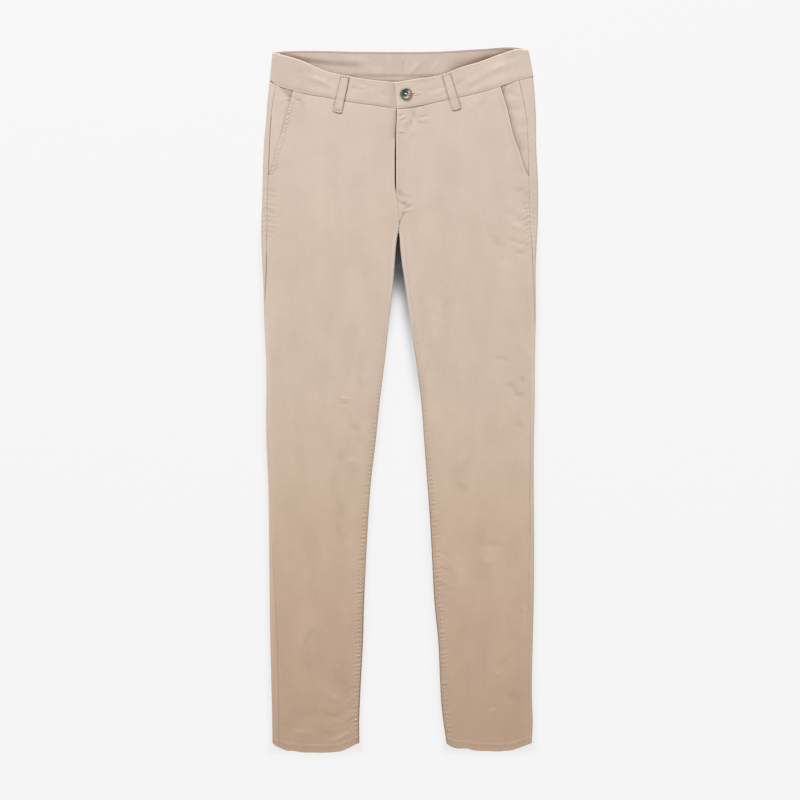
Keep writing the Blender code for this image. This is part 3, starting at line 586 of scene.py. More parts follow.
class Workshop:
    """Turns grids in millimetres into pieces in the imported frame."""

    def __init__(self) -> None:
        """Find how far the garment was moved as it was packed, and set out finishes and threads."""
        low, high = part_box("button")
        centre = (low + high) / 2.0
        self.shift = np.array([centre.x / MM - BUTTON_AT[0], centre.y / MM - BUTTON_AT[1], 0.0])
        self.finishes = Finishes(self)
        self.sewing = Sewing(self)

    def place(self, points: Array) -> Array:
        """Points of the cutter's frame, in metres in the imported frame."""
        return ((np.reshape(points, (-1, 3)) + self.shift) * MM).astype(np.float32)

    def link(self, name: str, mesh: bpy.types.Mesh, material: Material | None) -> Made:
        """Give a mesh its object and finish in the scene."""
        if material is not None:
            mesh.materials.clear()
            mesh.materials.append(material)
        made = bpy.data.objects.new(name, mesh)
        bpy.context.scene.collection.objects.link(made)
        return made

    @staticmethod
    def declare(piece: Made, slot: str, *nodes: str) -> Made:
        """Let a piece stand for its nodes and ride on the garment."""
        if nodes:
            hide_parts(*nodes)
        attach(piece, BODY)
        return piece

    def cloth(
        self, node: str, grid: "Grid", turned: bool, flat: Point, rests_on: list[str],
        material: Material, slot: str = PANEL_SLOT, wall: float = Drape.CLOTH, area: float | None = None,
    ) -> None:
        """Args:
            node: The node's name.
            grid: Points of its outer face, and their tone.
            turned: Whether the grid's faces have to be turned to face out.
            flat: Width and length of its cut, in metres; not used.
            rests_on: Names of what it lies on; not used.
            material: Its finish.
            slot: The slot for that finish; not used.
            wall: Its thickness.
            area: Area of its cut in square metres, where that isn't a rectangle; not used.
        """
        piece = self.declare(self.shell(f"{node}_cloth", grid, wall, turned, material), slot, node)

    def shell(self, name: str, grid: "Grid", wall: float, turned: bool, material: Material) -> Made:
        """A cloth wall over a grid, thickened inwards.

        Args:
            name: The piece's name.
            grid: Points of its outer face, and their tone.
            wall: Its thickness.
            turned: Whether the grid's faces have to be turned to face out.
            material: Its finish.

        Returns:
            The piece, with its wall as a modifier.
        """
        rows, columns = grid.z.shape
        index = np.arange(rows * columns).reshape(rows, columns)
        corners = [index[:-1, :-1], index[:-1, 1:], index[1:, 1:], index[1:, :-1]]
        quads = np.stack(corners, axis=-1).reshape(-1, 4)
        if turned:
            quads = quads[:, ::-1]
        mesh = bpy.data.meshes.new(name)
        mesh.vertices.add(rows * columns)
        mesh.vertices.foreach_set("co", self.place(np.stack([grid.x, grid.y, grid.z], axis=-1)).ravel())
        mesh.loops.add(quads.size)
        mesh.loops.foreach_set("vertex_index", quads.ravel().astype(np.int32))
        mesh.polygons.add(len(quads))
        mesh.polygons.foreach_set("loop_start", np.arange(0, quads.size, 4, dtype=np.int32))
        mesh.update(calc_edges=True)
        mesh.polygons.foreach_set("use_smooth", np.ones(len(quads), bool))
        # tone: painted shade below 0 and painted highlight above 0 on the cloth, with the seams' darker
        # lines.
        tone = mesh.attributes.new("tone", "FLOAT", "POINT")
        tone.data.foreach_set("value", grid.tone.ravel().astype(np.float32))
        made = self.link(name, mesh, material)
        solid = made.modifiers.new("wall", "SOLIDIFY")
        solid.thickness = wall * MM
        solid.offset = -1.0
        mesh.set_sharp_from_angle(angle=math.radians(60.0))
        log.info("%s: %d faces", name, len(quads))
        return made


@dataclass
class Grid:
    """Points over a piece's outer face, rows up the garment and columns across it."""

    x: Array
    y: Array
    z: Array
    tone: Array

    @classmethod
    def spread(cls, *parts: Array | float) -> "Grid":
        """A grid from x, y, z and tone, each of them spread over all the points."""
        return cls(*(np.array(part, float) for part in np.broadcast_arrays(*parts)))

    def area(self) -> float:
        """Area of the face in square metres."""
        points = np.stack([self.x, self.y, self.z], axis=-1) * MM
        across = points[:-1, 1:] - points[:-1, :-1]
        along = points[1:, :-1] - points[:-1, :-1]
        return float(np.linalg.norm(np.cross(across, along), axis=-1).sum())

    def row(self, index: float, lift: float) -> Array:
        """Points along one row, which may lie between two, raised by lift."""
        return self.line((self.x, self.y, self.z), index, lift)

    def column(self, index: float, lift: float) -> Array:
        """Points up one column, which may lie between two, raised by lift."""
        return self.line((self.x.T, self.y.T, self.z.T), index, lift)

    @staticmethod
    def line(parts: tuple[Array, Array, Array], index: float, lift: float) -> Array:
        """Points of a place between two rows, raised by lift."""
        low = int(math.floor(index))
        share = index - low
        high = min(low + 1, len(parts[0]) - 1)
        x, y, z = (part[low] * (1.0 - share) + part[high] * share for part in parts)
        return np.stack([x, y, z + lift], axis=-1)


# ------------------------------------------------------------------ finishes


class Wire:
    """A socket's value, whose arithmetic adds Math nodes to its material."""

    def __init__(self, recipe: "Recipe", socket: bpy.types.NodeSocket) -> None:
        """Keep the socket and the recipe that it belongs to."""
        self.recipe = recipe
        self.socket = socket

    def _math(self, operation: str, first: "Wire | float", second: "Wire | float") -> "Wire":
        """Add a Math node."""
        return self.recipe.wire("ShaderNodeMath", {"operation": operation}, {0: first, 1: second})

    def __add__(self, other: "Wire | float") -> "Wire":
        """Self plus other."""
        return self._math("ADD", self, other)

    def __sub__(self, other: "Wire | float") -> "Wire":
        """Self less other."""
        return self._math("SUBTRACT", self, other)

    def __mul__(self, other: "Wire | float") -> "Wire":
        """Self times other."""
        return self._math("MULTIPLY", self, other)

    def sine(self) -> "Wire":
        """Sine of the value."""
        return self._math("SINE", self, 0.0)

    def above(self, floor: float) -> "Wire":
        """The value, or floor where it is lower."""
        return self._math("MAXIMUM", self, floor)


class Recipe:
    """A material that is put together node by node."""

    def __init__(self, name: str) -> None:
        """Start a material with its Principled shader."""
        self.material = bpy.data.materials.new(name)
        self.material.use_nodes = True
        self.tree = self.material.node_tree
        self.shader = self.tree.nodes["Principled BSDF"]

    def node(self, kind: str, settings: dict | None = None, values: dict | None = None) -> bpy.types.Node:
        """Add a node.

        Args:
            kind: The node's type.
            settings: Its properties, and the stops of a ramp.
            values: Its sockets' values or links, by name or number.

        Returns:
            The node.
        """
        made = self.tree.nodes.new(kind)
        for key, value in (settings or {}).items():
            if key == "stops":
                while len(made.color_ramp.elements) < len(value):
                    made.color_ramp.elements.new(1.0)
                for element, (at, colour) in zip(made.color_ramp.elements, value):
                    element.position = at
                    element.color = (*colour, 1.0)
            else:
                setattr(made, key, value)
        for key, value in (values or {}).items():
            self.feed(made.inputs[key], value)
        return made

    def feed(self, socket: bpy.types.NodeSocket, value: object) -> None:
        """Link a wire to a socket, or set its value."""
        if isinstance(value, Wire):
            self.tree.links.new(value.socket, socket)
        elif isinstance(value, tuple) and len(value) == 3 and socket.type == "RGBA":
            socket.default_value = (*value, 1.0)
        else:
            socket.default_value = value

    def wire(
        self, kind: str, settings: dict | None = None, values: dict | None = None, output: int | str = 0
    ) -> Wire:
        """Add a node and hold one of its outputs."""
        return Wire(self, self.node(kind, settings, values).outputs[output])

    def blend(self, share: Wire | float, first: object, second: object, how: str = "MIX") -> Wire:
        """Mix two colours by a share from 0 to 1."""
        settings = {"data_type": "RGBA", "blend_type": how, "clamp_factor": True}
        mix = self.node("ShaderNodeMix", settings, {0: share})
        self.feed(mix.inputs[6], first)
        self.feed(mix.inputs[7], second)
        return Wire(self, mix.outputs[2])

    def tone(self) -> Wire:
        """The tone that the piece's own points carry: painted shade below 0 and painted highlight above 0,
        with the seams' darker lines.
        """
        return self.wire("ShaderNodeAttribute", {"attribute_name": "tone"}, output="Fac")

    def mapped(self, where: Wire, **values: Colour) -> Wire:
        """A place, moved, turned and scaled."""
        return self.wire("ShaderNodeMapping", {"vector_type": "POINT"}, {"Vector": where, **values})

    def place(
        self, centre: Colour = (0.0, 0.0, 0.0), turn: float = 0.0, scale: Colour = (1.0, 1.0, 1.0)
    ) -> Wire:
        """Object coordinates from a centre, turned about z, then scaled."""
        coords = self.wire("ShaderNodeTexCoord", output="Object")
        moved = self.mapped(coords, Location=tuple(-c for c in centre))
        return self.mapped(moved, Rotation=(0.0, 0.0, turn), Scale=scale)

    def parts(self, where: Wire) -> list[Wire]:
        """The x, y and z of a place."""
        split = self.node("ShaderNodeSeparateXYZ", None, {0: where})
        return [Wire(self, socket) for socket in split.outputs]

    def noise(self, where: Wire, scale: float, detail: float = 2.0, rough: float = 0.5) -> Wire:
        """Smooth noise around 0.5."""
        values = {"Vector": where, "Scale": scale, "Detail": detail, "Roughness": rough}
        return self.wire("ShaderNodeTexNoise", None, values)

    def ramp(self, at: Wire, stops: tuple[tuple[float, Colour], ...]) -> Wire:
        """The colour between stops."""
        return self.wire("ShaderNodeValToRGB", {"stops": stops}, {0: at})

    def fade(self, at: Wire, start: float, end: float, first: float, last: float) -> Wire:
        """Ease from the first value to the last, as a value goes from start to end."""
        values = {0: at, 1: start, 2: end, 3: first, 4: last}
        return self.wire("ShaderNodeMapRange", {"interpolation_type": "SMOOTHSTEP"}, values)

    def bump(self, height: Wire, strength: float, distance: float) -> None:
        """Let a height tilt the shader's normal."""
        values = {"Height": height, "Strength": strength, "Distance": distance}
        self.surface(normal=self.wire("ShaderNodeBump", None, values))

    def surface(self, **values: "Wire | float | Colour") -> Material:
        """Feed the shader's sockets, named in small letters with _ for a space, and give the material."""
        for key, value in values.items():
            self.feed(self.shader.inputs[key.replace("_", " ").title().replace("Ior", "IOR")], value)
        return self.material


@dataclass(frozen=True)
class Twill:
    """Garment-dyed cotton twill with a brushed nap; its colour ramp paints light falloff, paler towards the
    waist and darker and warmer towards the hem.
    """

    name: str
    # shade scales the colour and tint warms it: the near-black, warm copy is painted shadow.
    shade: float = 1.0
    weave_turn: float = 0.0
    sheen: float = 0.22
    tint: Colour = (1.0, 1.0, 1.0)

    # The twill's colour from hem (0) to waist (1), with painted light falloff and haze: paler where more
    # light falls.
    COLOUR_AND_FALLOFF = (
        (0.0, (0.522, 0.364, 0.257)), (0.20, (0.549, 0.398, 0.288)), (0.36, (0.565, 0.436, 0.325)),
        (0.52, (0.580, 0.462, 0.368)), (1.0, (0.560, 0.458, 0.386)),
    )
    WALE = 0.75
    YARN = 0.42

    def build(self) -> Material:
        """Make the material.

        Returns:
            Twill with wale lines, slubs, soft mottling, and painted shade and highlight from the piece's own
            tone attribute.
        """
        recipe = Recipe(self.name)
        where = recipe.place()
        across, along, _ = recipe.parts(recipe.place(turn=self.weave_turn))
        tone = recipe.tone()
        stops = tuple(
            (at, tuple(self.shade * t * c for t, c in zip(self.tint, colour))) for at, colour in self.COLOUR_AND_FALLOFF
        )
        # Base colour by height up the garment, which carries the painted light falloff.
        base = recipe.ramp(recipe.parts(where)[1] + 0.5, stops)
        cloud = recipe.noise(where, 22.0, 3.0, 0.55)
        streak = recipe.noise(recipe.place(scale=(36.0, 11.0, 36.0)), 1.0, 2.0, 0.6)
        slub = recipe.noise(recipe.place(scale=(900.0, 160.0, 900.0)), 1.0, 2.0, 0.6)
        for noise, swing in ((cloud, 0.06), (streak, 0.075), (slub, 0.07)):
            base = self.tinted(recipe, base, noise, swing)
        # Tone above 0 blends towards pale as painted highlight; tone below 0 blends towards dark as painted
        # shade and the seams' darker lines.
        pale = tuple(min(1.0, 1.25 * c + 0.06) for c in stops[-1][1])
        base = recipe.blend((tone * 0.3).above(0.0), base, pale)
        dark = tuple(0.30 * c * c / max(stops[0][1]) for c in stops[0][1])
        base = recipe.blend((tone * -0.8).above(0.0), base, dark)
        wale = math.tau / (self.WALE * MM)
        yarn = math.tau / (self.YARN * MM)
        twill = (across * wale + along * wale * 1.35).sine()
        picks = (along * yarn).sine() * (across * yarn).sine()
        fuzz = recipe.noise(where, 700.0, 3.0, 0.6)
        dimple = recipe.noise(where, 110.0, 3.0, 0.55)
        height = twill * 0.045 + picks * 0.02 + fuzz * 0.10 + dimple * 0.55
        recipe.bump(height, 0.55, 0.0006)
        return recipe.surface(
            base_color=base, roughness=recipe.noise(where, 300.0) * 0.12 + 0.80, sheen_weight=self.sheen,
            sheen_roughness=0.45, sheen_tint=(1.0, 0.93, 0.86), specular_ior_level=1.1 * self.sheen,
        )

    @staticmethod
    def tinted(recipe: Recipe, base: Wire, noise: Wire, swing: float) -> Wire:
        """Lighten and darken a colour by a noise around 0.5."""
        low = tuple([1.0 - swing] * 3)
        high = tuple([1.0 + swing] * 3)
        return recipe.blend(1.0, base, recipe.blend(noise, low, high), "MULTIPLY")


@dataclass(frozen=True)
class ThreadFinish:
    """Spun polyester sewing thread with a slight lustre."""

    name: str
    colour: Colour
    dark: Colour

    def build(self) -> Material:
        """Make the material, with the ply as fine stripes of colour and height."""
        recipe = Recipe(self.name)
        where = recipe.place()
        ply = recipe.noise(where, 2600.0, 2.0, 0.6)
        length = recipe.noise(where, 60.0, 1.0)
        base = recipe.blend(ply * 0.7 + length * 0.3, self.dark, self.colour)
        recipe.bump(ply, 0.4, 0.0002)
        return recipe.surface(base_color=base, roughness=0.6, sheen_weight=0.15, specular_ior_level=0.35)


@dataclass(frozen=True)
class MarbledResin:
    """Cast resin in swirled tones round a point, darker at its rim."""

    name: str
    centre: Colour
    radius: float

    RIM = 2.1
    SWIRL = (
        (0.0, (0.002, 0.018, 0.017)), (0.34, (0.006, 0.05, 0.048)), (0.50, (0.03, 0.14, 0.13)),
        (0.60, (0.27, 0.42, 0.37)), (0.69, (0.62, 0.40, 0.36)), (0.79, (0.46, 0.045, 0.04)),
        (1.0, (0.18, 0.025, 0.025)),
    )
    RIM_TONES = (
        (0.0, (0.13, 0.10, 0.035)), (0.35, (0.30, 0.27, 0.15)), (0.62, (0.10, 0.085, 0.035)),
        (1.0, (0.035, 0.03, 0.012)),
    )

    def build(self) -> Material:
        """Make the material: swirled bands across the dish and an olive rim."""
        recipe = Recipe(self.name)
        where = recipe.place(self.centre, math.radians(26.0), (1000.0, 1000.0, 1000.0))
        wander = recipe.noise(where, 0.22, 2.0)
        band = recipe.parts(where)[0] * (0.5 / self.radius) + 0.5 + (wander - 0.5) * 0.45
        swirl = recipe.ramp(band, self.SWIRL)
        flat = recipe.place(self.centre, 0.0, (1000.0, 1000.0, 0.0))
        reach = recipe.wire("ShaderNodeVectorMath", {"operation": "LENGTH"}, {0: flat}, "Value")
        rim_at = (reach - (self.radius - self.RIM)) * (1.0 / self.RIM) + (wander - 0.5) * 0.3
        rim = recipe.ramp(rim_at, self.RIM_TONES)
        share = recipe.fade(reach, self.radius - 2.4, self.radius - 1.9, 0.0, 1.0)
        # Darker towards the centre round the holes.
        dark_centre = recipe.fade(reach, 2.2, 4.6, 0.92, 0.0)
        base = recipe.blend(dark_centre, recipe.blend(share, swirl, rim), (0.004, 0.01, 0.01))
        recipe.bump(recipe.noise(where, 3.0, 3.0), 0.08, 0.0002)
        return recipe.surface(
            base_color=base, roughness=wander * 0.15 + 0.18, coat_weight=0.4, coat_roughness=0.12,
            specular_ior_level=0.5,
        )


class Finishes:
    """Every finish on the garment, made once."""

    def __init__(self, workshop: Workshop) -> None:
        """Build the materials."""
        self.panel = Twill("panel_twill").build()
        self.band = Twill("band_twill", weave_turn=math.radians(12.0)).build()
        self.inside = Twill("inside_twill", shade=0.93).build()
        # A near-black, warm copy of the twill: painted shadow in the fly's gap and the buttonhole's slit.
        self.painted_shadow = Twill("fly_twill", shade=0.015, sheen=0.0, tint=(3.4, 0.8, 0.3)).build()
        self.thread = ThreadFinish("seam_thread", (0.68, 0.55, 0.44), (0.50, 0.385, 0.30)).build()
        self.rose = ThreadFinish("overlock_thread", (0.66, 0.48, 0.41), (0.52, 0.36, 0.30)).build()
        self.pale = ThreadFinish("inseam_thread", (0.74, 0.60, 0.44), (0.62, 0.485, 0.345)).build()
        self.cream = ThreadFinish("buttonhole_thread", (0.80, 0.70, 0.52), (0.62, 0.50, 0.34)).build()
        self.white = ThreadFinish("button_thread", (0.92, 0.90, 0.86), (0.74, 0.72, 0.68)).build()
        spot = workshop.place([*BUTTON_AT, 0.0])[0]
        self.resin = MarbledResin("marbled_resin", (float(spot[0]), float(spot[1]), 0.0), 9.0).build()


# ------------------------------------------------------------------ sewing


class StitchTree:
    """A node group that takes a path, sizes and a thread, and gives a mesh."""

    def __init__(self, name: str, *sizes: str) -> None:
        """Start the group with its sockets and the path as a curve."""
        self.tree = bpy.data.node_groups.new(name, "GeometryNodeTree")
        sockets = self.tree.interface
        sockets.new_socket("Path", in_out="INPUT", socket_type="NodeSocketGeometry")
        for size in sizes:
            sockets.new_socket(size, in_out="INPUT", socket_type="NodeSocketFloat")
        sockets.new_socket("Thread", in_out="INPUT", socket_type="NodeSocketMaterial")
        sockets.new_socket("Stitches", in_out="OUTPUT", socket_type="NodeSocketGeometry")
        self.entry = self.tree.nodes.new("NodeGroupInput").outputs
        self.line = self.node("GeometryNodeMeshToCurve", {}, {"Mesh": self.entry["Path"]})["Curve"]

    def node(self, kind: str, settings: dict, values: dict) -> bpy.types.bpy_prop_collection:
        """Add a node with its settings and its sockets' values or links, and give its outputs."""
        made = self.tree.nodes.new(kind)
        for key, value in settings.items():
            setattr(made, key, value)
        for key, value in values.items():
            if isinstance(value, bpy.types.NodeSocket):
                self.tree.links.new(value, made.inputs[key])
            else:
                made.inputs[key].default_value = value
        return made.outputs

    def close(self, made: bpy.types.NodeSocket) -> bpy.types.NodeTree:
        """End the group in Realize Instances, Set Material and its output."""
        real = self.node("GeometryNodeRealizeInstances", {}, {"Geometry": made})[0]
        done = self.node("GeometryNodeSetMaterial", {}, {"Geometry": real, "Material": self.entry["Thread"]})
        self.node("NodeGroupOutput", {}, {"Stitches": done[0]})
        return self.tree


class Stitch(Enum):
    """How a line of thread is laid."""

    RUNNING = "running"
    CORD = "cord"


class Sewing:
    """Threads that follow paths on the cloth, laid by Geometry Nodes."""

    LIFT = 0.12

    def __init__(self, workshop: Workshop) -> None:
        """Build the two node trees."""
        self.workshop = workshop
        self.trees = {Stitch.RUNNING: self.running_tree(), Stitch.CORD: self.cord_tree()}

    @staticmethod
    def running_tree() -> bpy.types.NodeTree:
        """Separate stitches, one for each pitch along the path, each of its own length and thickness."""
        tree = StitchTree("running_stitch", "Pitch", "Stitch Length", "Thickness")
        entry = tree.entry
        spots = tree.node(
            "GeometryNodeCurveToPoints", {"mode": "LENGTH"}, {"Curve": tree.line, "Length": entry["Pitch"]}
        )
        align = "FunctionNodeAlignRotationToVector"
        along = tree.node(align, {"axis": "X"}, {"Vector": spots["Tangent"]})[0]
        upright = tree.node(
            align, {"axis": "Z", "pivot_axis": "X"}, {"Rotation": along, "Vector": (0.0, 0.0, 1.0)}
        )[0]
        jitter = tree.node(
            "FunctionNodeRandomValue", {"data_type": "FLOAT_VECTOR"},
            {0: (0.85, 0.85, 0.8), 1: (1.1, 1.15, 1.1), "Seed": 7},
        )[0]
        thick = entry["Thickness"]
        size = tree.node("ShaderNodeCombineXYZ", {}, {0: entry["Stitch Length"], 1: thick, 2: thick})[0]
        scaled = tree.node("ShaderNodeVectorMath", {"operation": "MULTIPLY"}, {0: size, 1: jitter})[0]
        bead = tree.node("GeometryNodeMeshUVSphere", {}, {"Segments": 6, "Rings": 5, "Radius": 0.5})
        smooth = tree.node("GeometryNodeSetShadeSmooth", {}, {"Geometry": bead["Mesh"]})[0]
        laid = tree.node(
            "GeometryNodeInstanceOnPoints", {},
            {"Points": spots["Points"], "Instance": smooth, "Rotation": upright, "Scale": scaled},
        )
        return tree.close(laid["Instances"])

    @staticmethod
    def cord_tree() -> bpy.types.NodeTree:
        """One round thread swept along the path."""
        tree = StitchTree("laid_thread", "Thickness")
        half = tree.node("ShaderNodeMath", {"operation": "MULTIPLY"}, {0: tree.entry["Thickness"], 1: 0.5})[0]
        ring = tree.node("GeometryNodeCurvePrimitiveCircle", {}, {"Resolution": 6, "Radius": half})["Curve"]
        sweep = tree.node(
            "GeometryNodeCurveToMesh", {}, {"Curve": tree.line, "Profile Curve": ring, "Fill Caps": True}
        )
        return tree.close(tree.node("GeometryNodeSetShadeSmooth", {}, {"Geometry": sweep["Mesh"]})[0])

    def lay(self, name: str, paths: list[Array], how: Stitch, material: Material, **sizes: float) -> None:
        """Sew along paths, as one plain mesh that rides on the garment.

        Args:
            name: The piece's name.
            paths: Points of each path, in millimetres.
            how: The kind of stitch.
            material: The thread.
            sizes: The tree's inputs by name, in millimetres, with _ for a space.
        """
        path_mesh = bpy.data.meshes.new(name + "_path")
        edges = []
        count = 0
        for path in paths:
            edges += [(count + i, count + i + 1) for i in range(len(path) - 1)]
            count += len(path)
        path_mesh.from_pydata(self.workshop.place(np.concatenate(paths)).tolist(), edges, [])
        guide = self.workshop.link(name + "_guide", path_mesh, None)
        tree = self.trees[how]
        modifier = guide.modifiers.new("sewing", "NODES")
        modifier.node_group = tree
        sockets = {item.name: item.identifier for item in tree.interface.items_tree if item.in_out == "INPUT"}
        for key, value in sizes.items():
            modifier[sockets[key.replace("_", " ").title()]] = value * MM
        modifier[sockets["Thread"]] = material
        graph = bpy.context.evaluated_depsgraph_get()
        mesh = bpy.data.meshes.new_from_object(guide.evaluated_get(graph), depsgraph=graph)
        bpy.data.objects.remove(guide, do_unlink=True)
        mesh.name = name
        self.workshop.declare(self.workshop.link(name, mesh, material), PANEL_SLOT)
        log.info("%s: %d faces", name, len(mesh.polygons))


def along_path(path: Array, pitch: float) -> Array:
    """Points of a path at even steps of about pitch."""
    steps = np.linalg.norm(np.diff(path, axis=0), axis=1)
    at = np.concatenate([[0.0], np.cumsum(steps)])
    places = np.linspace(0.0, at[-1], max(3, int(at[-1] / pitch) + 1))
    return np.stack([np.interp(places, at, path[:, axis]) for axis in range(3)], axis=-1)


def zigzag(path: Array, pitch: float, width: float) -> Array:
    """A zigzag across a path, of that pitch and width, in plan."""
    even = along_path(path, pitch / 2.0)
    ahead = np.gradient(even[:, :2], axis=0)
    ahead /= np.linalg.norm(ahead, axis=1, keepdims=True)
    side = np.where(np.arange(len(even)) % 2 == 0, 0.5, -0.5) * width
    even[:, 0] -= ahead[:, 1] * side
    even[:, 1] += ahead[:, 0] * side
    return even


# ------------------------------------------------------------------ the halves


@dataclass
class Half:
    """One front and one back panel, joined by the side seam and the inseam."""

    leg: Leg
    row_pitch: float = 1.5
    middle_columns: int = 36
    under_columns: int = 26
    turn_columns: int = 15
    roll: float = 0.4
    roll_width: float = 0.8

    # How deep each seam rolls in and how strongly its dark line shows, by height; the line is painted shade
    # in the seam with the join's own darker colour.
    INSEAM_SHOWS = Curve(
        (-512, 0.14), (-300, 0.1), (-120, 0.06), (-20, 0.03), (60, 0.0), (130, -0.05), (254, -0.05),
        steady=True,
    )
    OUTSEAM_SHOWS = {
        Side.RIGHT: Curve(
            (-512, 0.0), (138, 0.0), (156, 0.9), (212, 0.9), (228, 0.15), (345, 0.15), (358, 0.85),
            (422, 0.9), (434, 0.12), (480, 0.06), steady=True,
        ),
        Side.LEFT: Curve(
            (-512, 0.0), (-215, 0.0), (-190, 0.45), (-60, 0.45), (-40, 0.2), (-8, 0.0), (108, 0.0),
            (124, 0.6), (212, 0.7), (240, 0.3), (262, 0.1), (330, 0.14), (345, 0.24), (480, 0.24),
            steady=True,
        ),
    }
    # Painted highlight on the outer fold, by height.
    OUTER_RIM = {
        Side.RIGHT: Curve(
            (-512, 0.1), (-480, 0.25), (-420, 0.45), (-360, 0.85), (-240, 0.9), (-180, 1.0), (110, 0.95),
            (140, 0.35), (200, 0.05), (480, 0.0), steady=True,
        ),
        Side.LEFT: Curve(
            (-512, 0.15), (-420, 0.3), (-170, 0.4), (-60, 0.5), (-15, 0.85), (105, 0.9), (125, 0.35),
            (200, 0.2), (300, 0.1), (480, 0.1), steady=True,
        ),
    }
    # Painted shade along the inner fold lower down, and a painted highlight on it near the fork, by height.
    INNER_RIM = {
        Side.RIGHT: Curve(
            (-512, -0.16), (-300, -0.2), (-150, -0.26), (-50, -0.22), (30, -0.14), (100, 0.05), (165, 0.6),
            (254, 0.7),
        ),
        Side.LEFT: Curve(
            (-512, -0.16), (-300, -0.18), (-130, -0.2), (0, -0.2), (45, -0.12), (105, 0.05), (165, 0.6),
            (254, 0.7),
        ),
    }
    # Painted shade right at the inner fold's edge, by height.
    INNER_LINE = {
        Side.RIGHT: Curve((-512, -0.7), (-300, -0.7), (-250, -0.15), (254, 0.0), steady=True),
        Side.LEFT: Curve(
            (-512, -0.4), (-370, -0.4), (-340, -0.6), (-170, -0.6), (-130, -0.32), (70, -0.28), (110, 0.0),
            (254, 0.0), steady=True,
        ),
    }
    NEAR = (0.0, 0.35, 0.8, 1.4, 2.1, 3.0, 4.1, 5.4, 7.0, 9.0, 11.5, 14.5, 18.5)
    FAR = (0.0, 0.35, 0.8, 1.4, 2.1, 3.0, 4.1, 5.4, 7.0, 9.2, 12.0)
    PUCKERS = {
        Side.RIGHT: {
            "inseam": (
                Pucker(-508.0, -190.0, 6.2, 5.0, 0.22, 0.35, 2.0),
                Pucker(-230.0, 20.0, 6.0, 4.6, 0.15, 0.3, 4.0),
                Pucker(-508.0, -380.0, 10.5, 15.0, 0.16, 0.75, 6.0),
            ),
            "outseam": (
                Pucker(215.0, 335.0, 8.0, 9.0, 0.45, 0.3, 1.0),
                Pucker(-530.0, -430.0, 4.4, 3.0, 0.3, 0.4, 9.0),
            ),
            "pocket": (Pucker(318.0, 466.0, 6.4, 4.6, 0.9, -0.55, 3.0),),
        },
        Side.LEFT: {
            "inseam": (
                Pucker(-508.0, -140.0, 6.4, 5.0, 0.2, -0.35, 12.0),
                Pucker(-180.0, 20.0, 6.2, 4.6, 0.14, -0.3, 14.0),
                Pucker(-330.0, -140.0, 11.0, 14.0, 0.14, 0.7, 16.0),
            ),
            "outseam": (
                Pucker(-30.0, 100.0, 6.5, 6.0, 0.2, 0.6, 11.0),
                Pucker(215.0, 345.0, 7.5, 9.0, 0.45, 0.55, 13.0),
                Pucker(-510.0, -20.0, 6.0, 6.0, 0.16, 0.4, 19.0),
            ),
            "pocket": (Pucker(330.0, 440.0, 6.5, 7.0, 0.22, -0.6, 13.0),),
        },
    }

    def rows(self) -> tuple[Array, Array, Array]:
        """Row heights: those below the fork, those above it, and all."""
        low = np.concatenate([
            [Drape.HEM, Drape.HEM + 0.7], np.arange(Drape.HEM + 1.6, Drape.FORK_START, self.row_pitch),
            np.linspace(Drape.FORK_START, Drape.FORK[1], 38),
        ])
        count = int((Drape.WAIST - Drape.FORK[1]) / 1.1)
        high = np.linspace(Drape.FORK[1] + 0.6, Drape.WAIST - 2.0, count)
        high = np.concatenate([high, Drape.WAIST - np.array([1.4, 0.9, 0.4, 0.0])])
        return low, high, np.concatenate([low, high])

    def outer_seam(self, y: Array) -> tuple[Array, Array]:
        """Fold radius and length from the outer edge to the side seam, on each row."""
        leg = self.leg
        radius = (Drape.EDGE - Drape.floor(y)) / 2.0
        inset = leg.side_seam(y)
        for _ in range(4):
            inset = leg.side_seam(Drape.level(leg, leg.outer(y) - leg.sign * inset, y, True))
        return radius, Drape.arc_to(inset, radius)

    def fork_edge(self, y: Array) -> tuple[Array, Array, Array, Array, Array]:
        """Edge point, facing and seam inset of the inner fold on each row below the fork."""
        leg = self.leg
        near = y > Drape.FORK_START
        edge_x = np.where(near, leg.fork_x(y), leg.inner(y))
        edge_y = np.where(near, leg.fork_y(y), y)
        turn = np.where(near, np.radians(leg.fork_turn(y)), 0.0)
        inset = np.where(near, leg.fork_inset(y), leg.inseam(y))
        return edge_x, edge_y, -leg.sign * np.cos(turn), -np.sin(turn), inset

    def folded(
        self, edge: tuple[Array, Array, Array, Array], along: Array, y: Array, radius: Array
    ) -> tuple[Array, Array, Array]:
        """Points this far along the cloth from a folded edge: over it, or under if negative."""
        edge_x, edge_y, face_x, face_y = edge
        turn = np.clip(along / radius, -math.pi / 2.0, math.pi / 2.0)
        quarter = radius * math.pi / 2.0
        inset = radius * (1.0 - np.cos(turn)) + np.clip(np.abs(along) - quarter, 0.0, None)
        x = edge_x - face_x * inset
        flat_y = edge_y - face_y * inset
        over, under = (Drape.level(self.leg, x, flat_y, side) for side in (True, False))
        true_y = np.where(along >= 0.0, over, under)
        height = Drape.floor(y) + radius * (1.0 + np.sin(turn))
        return x, true_y, np.where(along > quarter, Drape.cloth(self.leg, x, true_y), height)

    @staticmethod
    def hem_step(y: Array) -> Array:
        """How far the turned-up hem stands proud, with a dip along its stitching."""
        up = y - Drape.HEM_TOP
        return 0.4 * (1.0 - rise(up, -1.2, 1.6)) - 0.2 * bell(up + 0.6)

